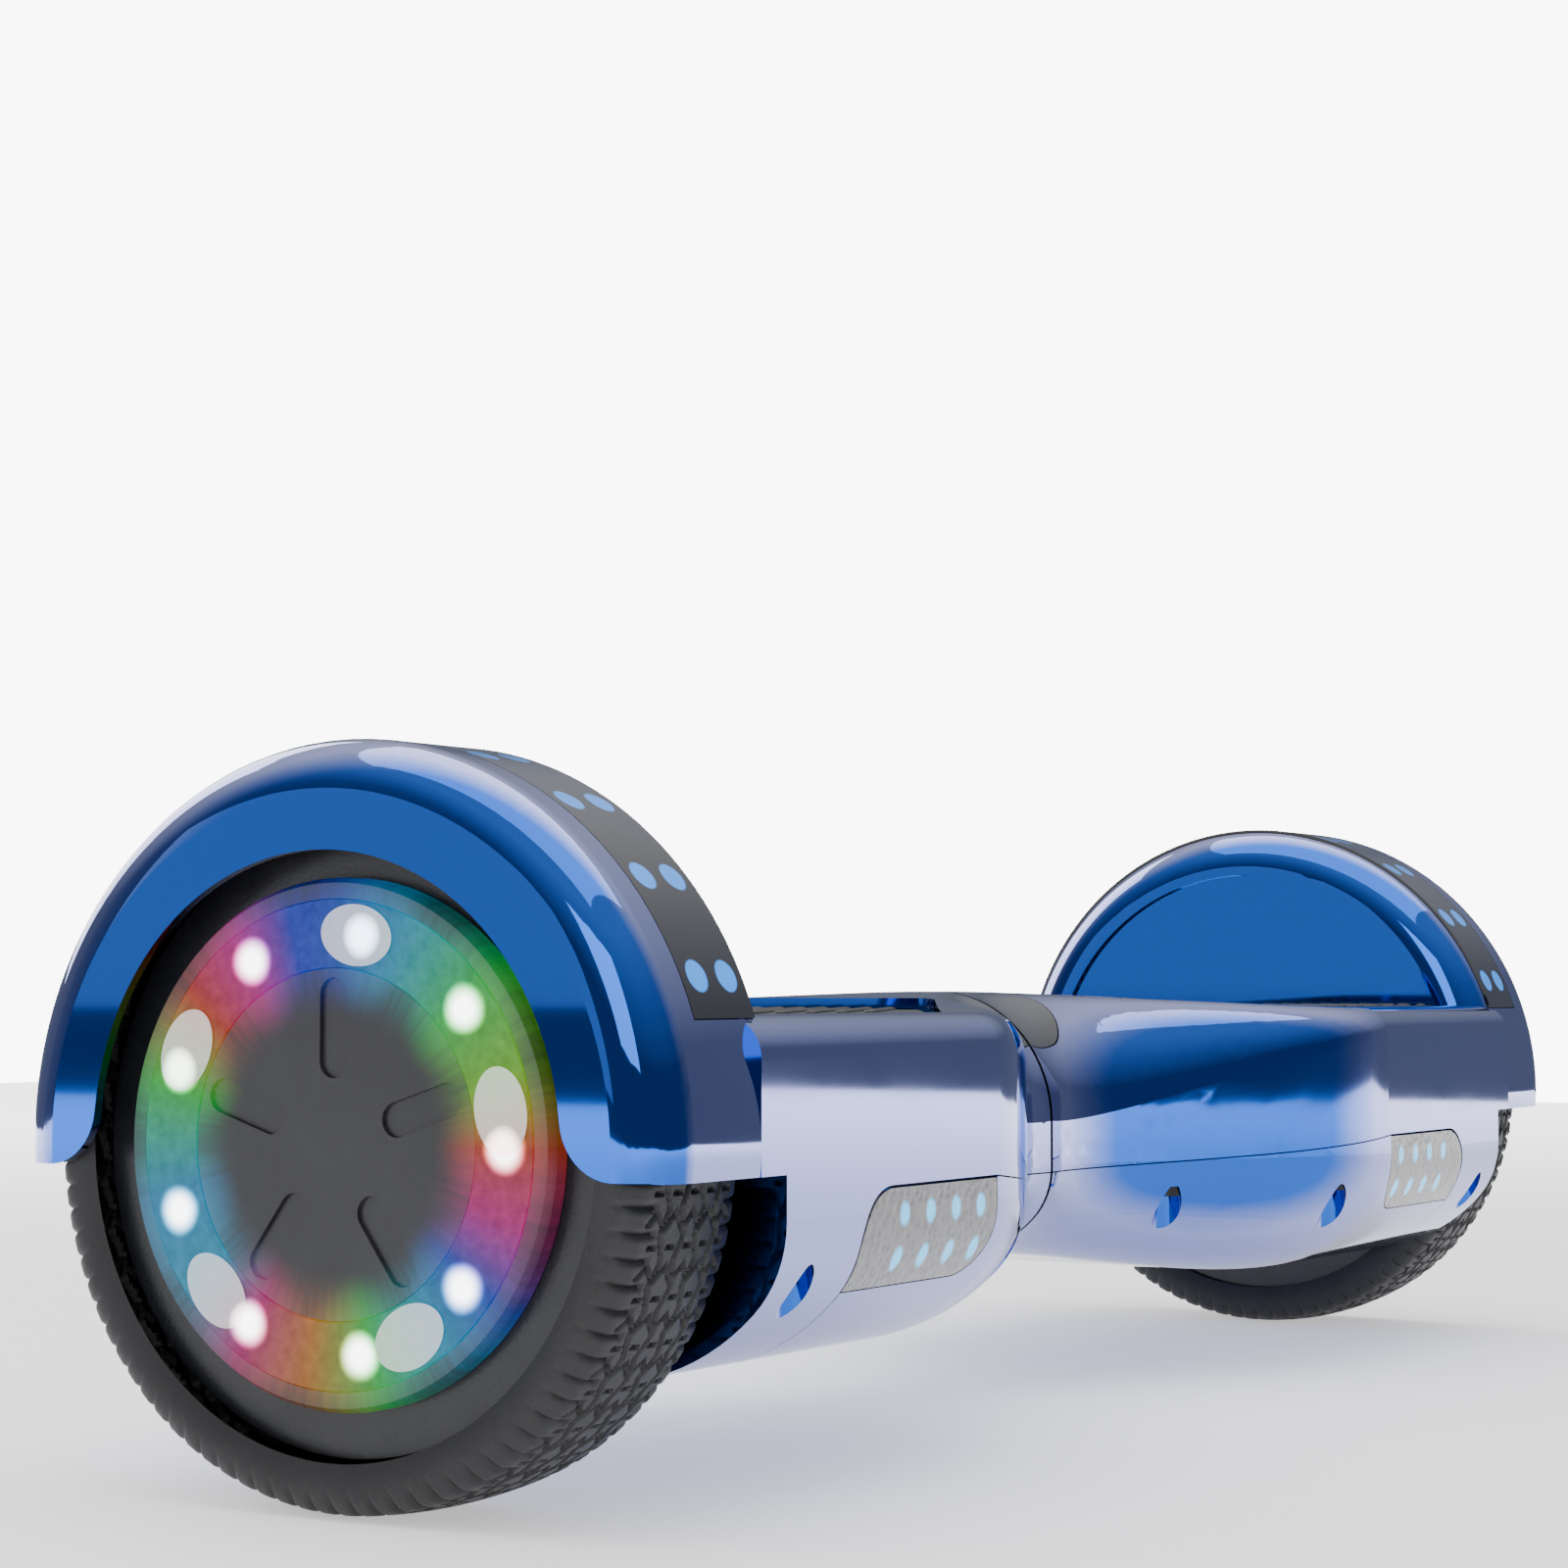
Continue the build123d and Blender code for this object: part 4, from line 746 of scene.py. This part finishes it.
def card(name, place, target, width, height, colour, strength):
    """A reflector panel that only mirrors see."""
    bpy.ops.object.select_all(action="DESELECT")
    bpy.ops.mesh.primitive_plane_add(size=1.0, location=place)
    panel = bpy.context.object
    panel.name = name
    panel.scale = (width, height, 1.0)
    panel.rotation_euler = (Vector(target) - Vector(place)).to_track_quat("Z", "Y").to_euler()
    material = bpy.data.materials.new(name)
    material.use_nodes = True
    tree = material.node_tree
    tree.nodes.clear()
    emission = tree.nodes.new("ShaderNodeEmission")
    emission.inputs["Color"].default_value = (*colour, 1.0)
    emission.inputs["Strength"].default_value = strength
    output = tree.nodes.new("ShaderNodeOutputMaterial")
    tree.links.new(emission.outputs["Emission"], output.inputs["Surface"])
    panel.data.materials.append(material)
    panel.visible_camera = False
    panel.visible_diffuse = False
    panel.visible_shadow = False
    panel.visible_transmission = False


CAMERA_PLACE = (-0.8955, -0.4854, 0.1204)
CAMERA_YAW = 0.5403
CAMERA_PITCH = 0.0605
CAMERA_LENS = 77.53


def make_world(strength):
    """White backdrop seen directly, and a sky that is dark at the horizon for the plating."""
    world = bpy.data.worlds.new("studio")
    bpy.context.scene.world = world
    world.use_nodes = True
    tree = world.node_tree
    tree.nodes.clear()
    rays = tree.nodes.new("ShaderNodeLightPath")
    seen = tree.nodes.new("ShaderNodeBackground")
    seen.inputs["Color"].default_value = (1.0, 1.0, 1.0, 1.0)
    seen.inputs["Strength"].default_value = strength
    around = tree.nodes.new("ShaderNodeBackground")
    direction = tree.nodes.new("ShaderNodeTexCoord")
    parts = tree.nodes.new("ShaderNodeSeparateXYZ")
    tree.links.new(direction.outputs["Generated"], parts.inputs["Vector"])
    sky = ramp(tree, parts.outputs["Z"], [
        (0.0, (0.16, 0.18, 0.24)), (0.25, (0.16, 0.18, 0.24)),
        (0.5, (0.5, 0.52, 0.58)), (0.75, (1.0, 1.0, 1.0)),
    ])
    tree.links.new(sky, around.inputs["Color"])
    around.inputs["Strength"].default_value = 1.0
    mix = tree.nodes.new("ShaderNodeMixShader")
    tree.links.new(rays.outputs["Is Camera Ray"], mix.inputs["Fac"])
    tree.links.new(around.outputs["Background"], mix.inputs[1])
    tree.links.new(seen.outputs["Background"], mix.inputs[2])
    output = tree.nodes.new("ShaderNodeOutputWorld")
    tree.links.new(mix.outputs["Shader"], output.inputs["Surface"])


def make_camera():
    """Low three-quarter view from the left front."""
    data = bpy.data.cameras.new("camera")
    camera = bpy.data.objects.new("camera", data)
    bpy.context.scene.collection.objects.link(camera)
    bpy.context.scene.camera = camera
    data.lens = CAMERA_LENS
    data.sensor_width = 36.0
    camera.location = CAMERA_PLACE
    heading = Vector((
        math.cos(CAMERA_YAW) * math.cos(CAMERA_PITCH),
        math.sin(CAMERA_YAW) * math.cos(CAMERA_PITCH),
        math.sin(CAMERA_PITCH),
    ))
    camera.rotation_euler = heading.to_track_quat("-Z", "Y").to_euler()


class HOVERBOARD_OT_stage(bpy.types.Operator):
    """Set the floor, the studio light and the camera"""
    bl_idname = "hoverboard.stage"
    bl_label = "Stage"

    def execute(self, context):
        settings = context.scene.hoverboard_stage
        bpy.ops.object.select_all(action="DESELECT")
        bpy.ops.mesh.primitive_plane_add(size=settings.floor_size, location=(0.0, 0.0, 0.0))
        floor = context.object
        floor.name = "stage_floor"
        material, tree, shader, coords = new_material("stage_floor")
        pale = tuple(settings.floor_colour)
        tree.links.new(
            ramp(tree, noise(tree, coords, 2.0), [(0.3, pale), (0.7, tuple(c * 0.99 for c in pale))]),
            shader.inputs["Base Color"],
        )
        shader.inputs["Roughness"].default_value = 0.6
        shader.inputs["Emission Color"].default_value = (*pale, 1.0)
        reach = tree.nodes.new("ShaderNodeVectorMath")
        reach.operation = "LENGTH"
        tree.links.new(coords, reach.inputs[0])
        inner = fade(tree, reach.outputs["Value"], 0.5, settings.floor_size / 2)
        glowing = spread(tree, inner, settings.far_floor_glow, settings.floor_glow)
        tree.links.new(glowing, shader.inputs["Emission Strength"])
        dress(floor, material)

        make_world(settings.backdrop_strength)
        area_light("overhead_softbox", (0.0, 0.0, 2.2), (0.0, 0.0, 0.0), 2.6, settings.key_power * 2)
        area_light("left_softbox", (-2.0, -0.9, 1.0), (-0.2, 0.0, 0.1), 1.0, settings.key_power / 2)
        area_light("back_softbox", (0.6, 2.0, 1.1), (0.0, 0.0, 0.1), 1.4, settings.key_power)
        card("left_back_card", (-2.2, 1.3, 0.45), (0.0, 0.0, 0.1), 1.6, 0.7, (1.0, 1.0, 1.0), 1.0)

        make_camera()
        return {"FINISHED"}


class HOVERBOARD_PT_sidebar(bpy.types.Panel):
    """Steps of the build, in order"""
    bl_idname = "HOVERBOARD_PT_sidebar"
    bl_label = "Hoverboard"
    bl_space_type = "VIEW_3D"
    bl_region_type = "UI"
    bl_category = "Hoverboard"

    def draw(self, context):
        for operator in OPERATORS:
            self.layout.operator(operator.bl_idname)


SETTINGS = (
    ("hoverboard_shells", ShellSettings),
    ("hoverboard_tyres", TyreSettings),
    ("hoverboard_lights", LightSettings),
    ("hoverboard_pads", PadSettings),
    ("hoverboard_stage", StageSettings),
)
OPERATORS = (
    HOVERBOARD_OT_inner_works, HOVERBOARD_OT_shells, HOVERBOARD_OT_tyres,
    HOVERBOARD_OT_lights, HOVERBOARD_OT_pads, HOVERBOARD_OT_stage,
)


def register():
    for name, group in SETTINGS:
        bpy.utils.register_class(group)
        setattr(bpy.types.Scene, name, PointerProperty(type=group))
    for operator in OPERATORS:
        bpy.utils.register_class(operator)
    bpy.utils.register_class(HOVERBOARD_PT_sidebar)


def unregister():
    bpy.utils.unregister_class(HOVERBOARD_PT_sidebar)
    for operator in reversed(OPERATORS):
        bpy.utils.unregister_class(operator)
    for name, group in reversed(SETTINGS):
        delattr(bpy.types.Scene, name)
        bpy.utils.unregister_class(group)


def main():
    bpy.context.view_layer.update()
    register()
    bpy.ops.hoverboard.inner_works()
    bpy.ops.hoverboard.shells()
    bpy.ops.hoverboard.tyres()
    bpy.ops.hoverboard.lights()
    bpy.ops.hoverboard.pads()
    bpy.ops.hoverboard.stage()


if __name__ == "__main__":
    main()
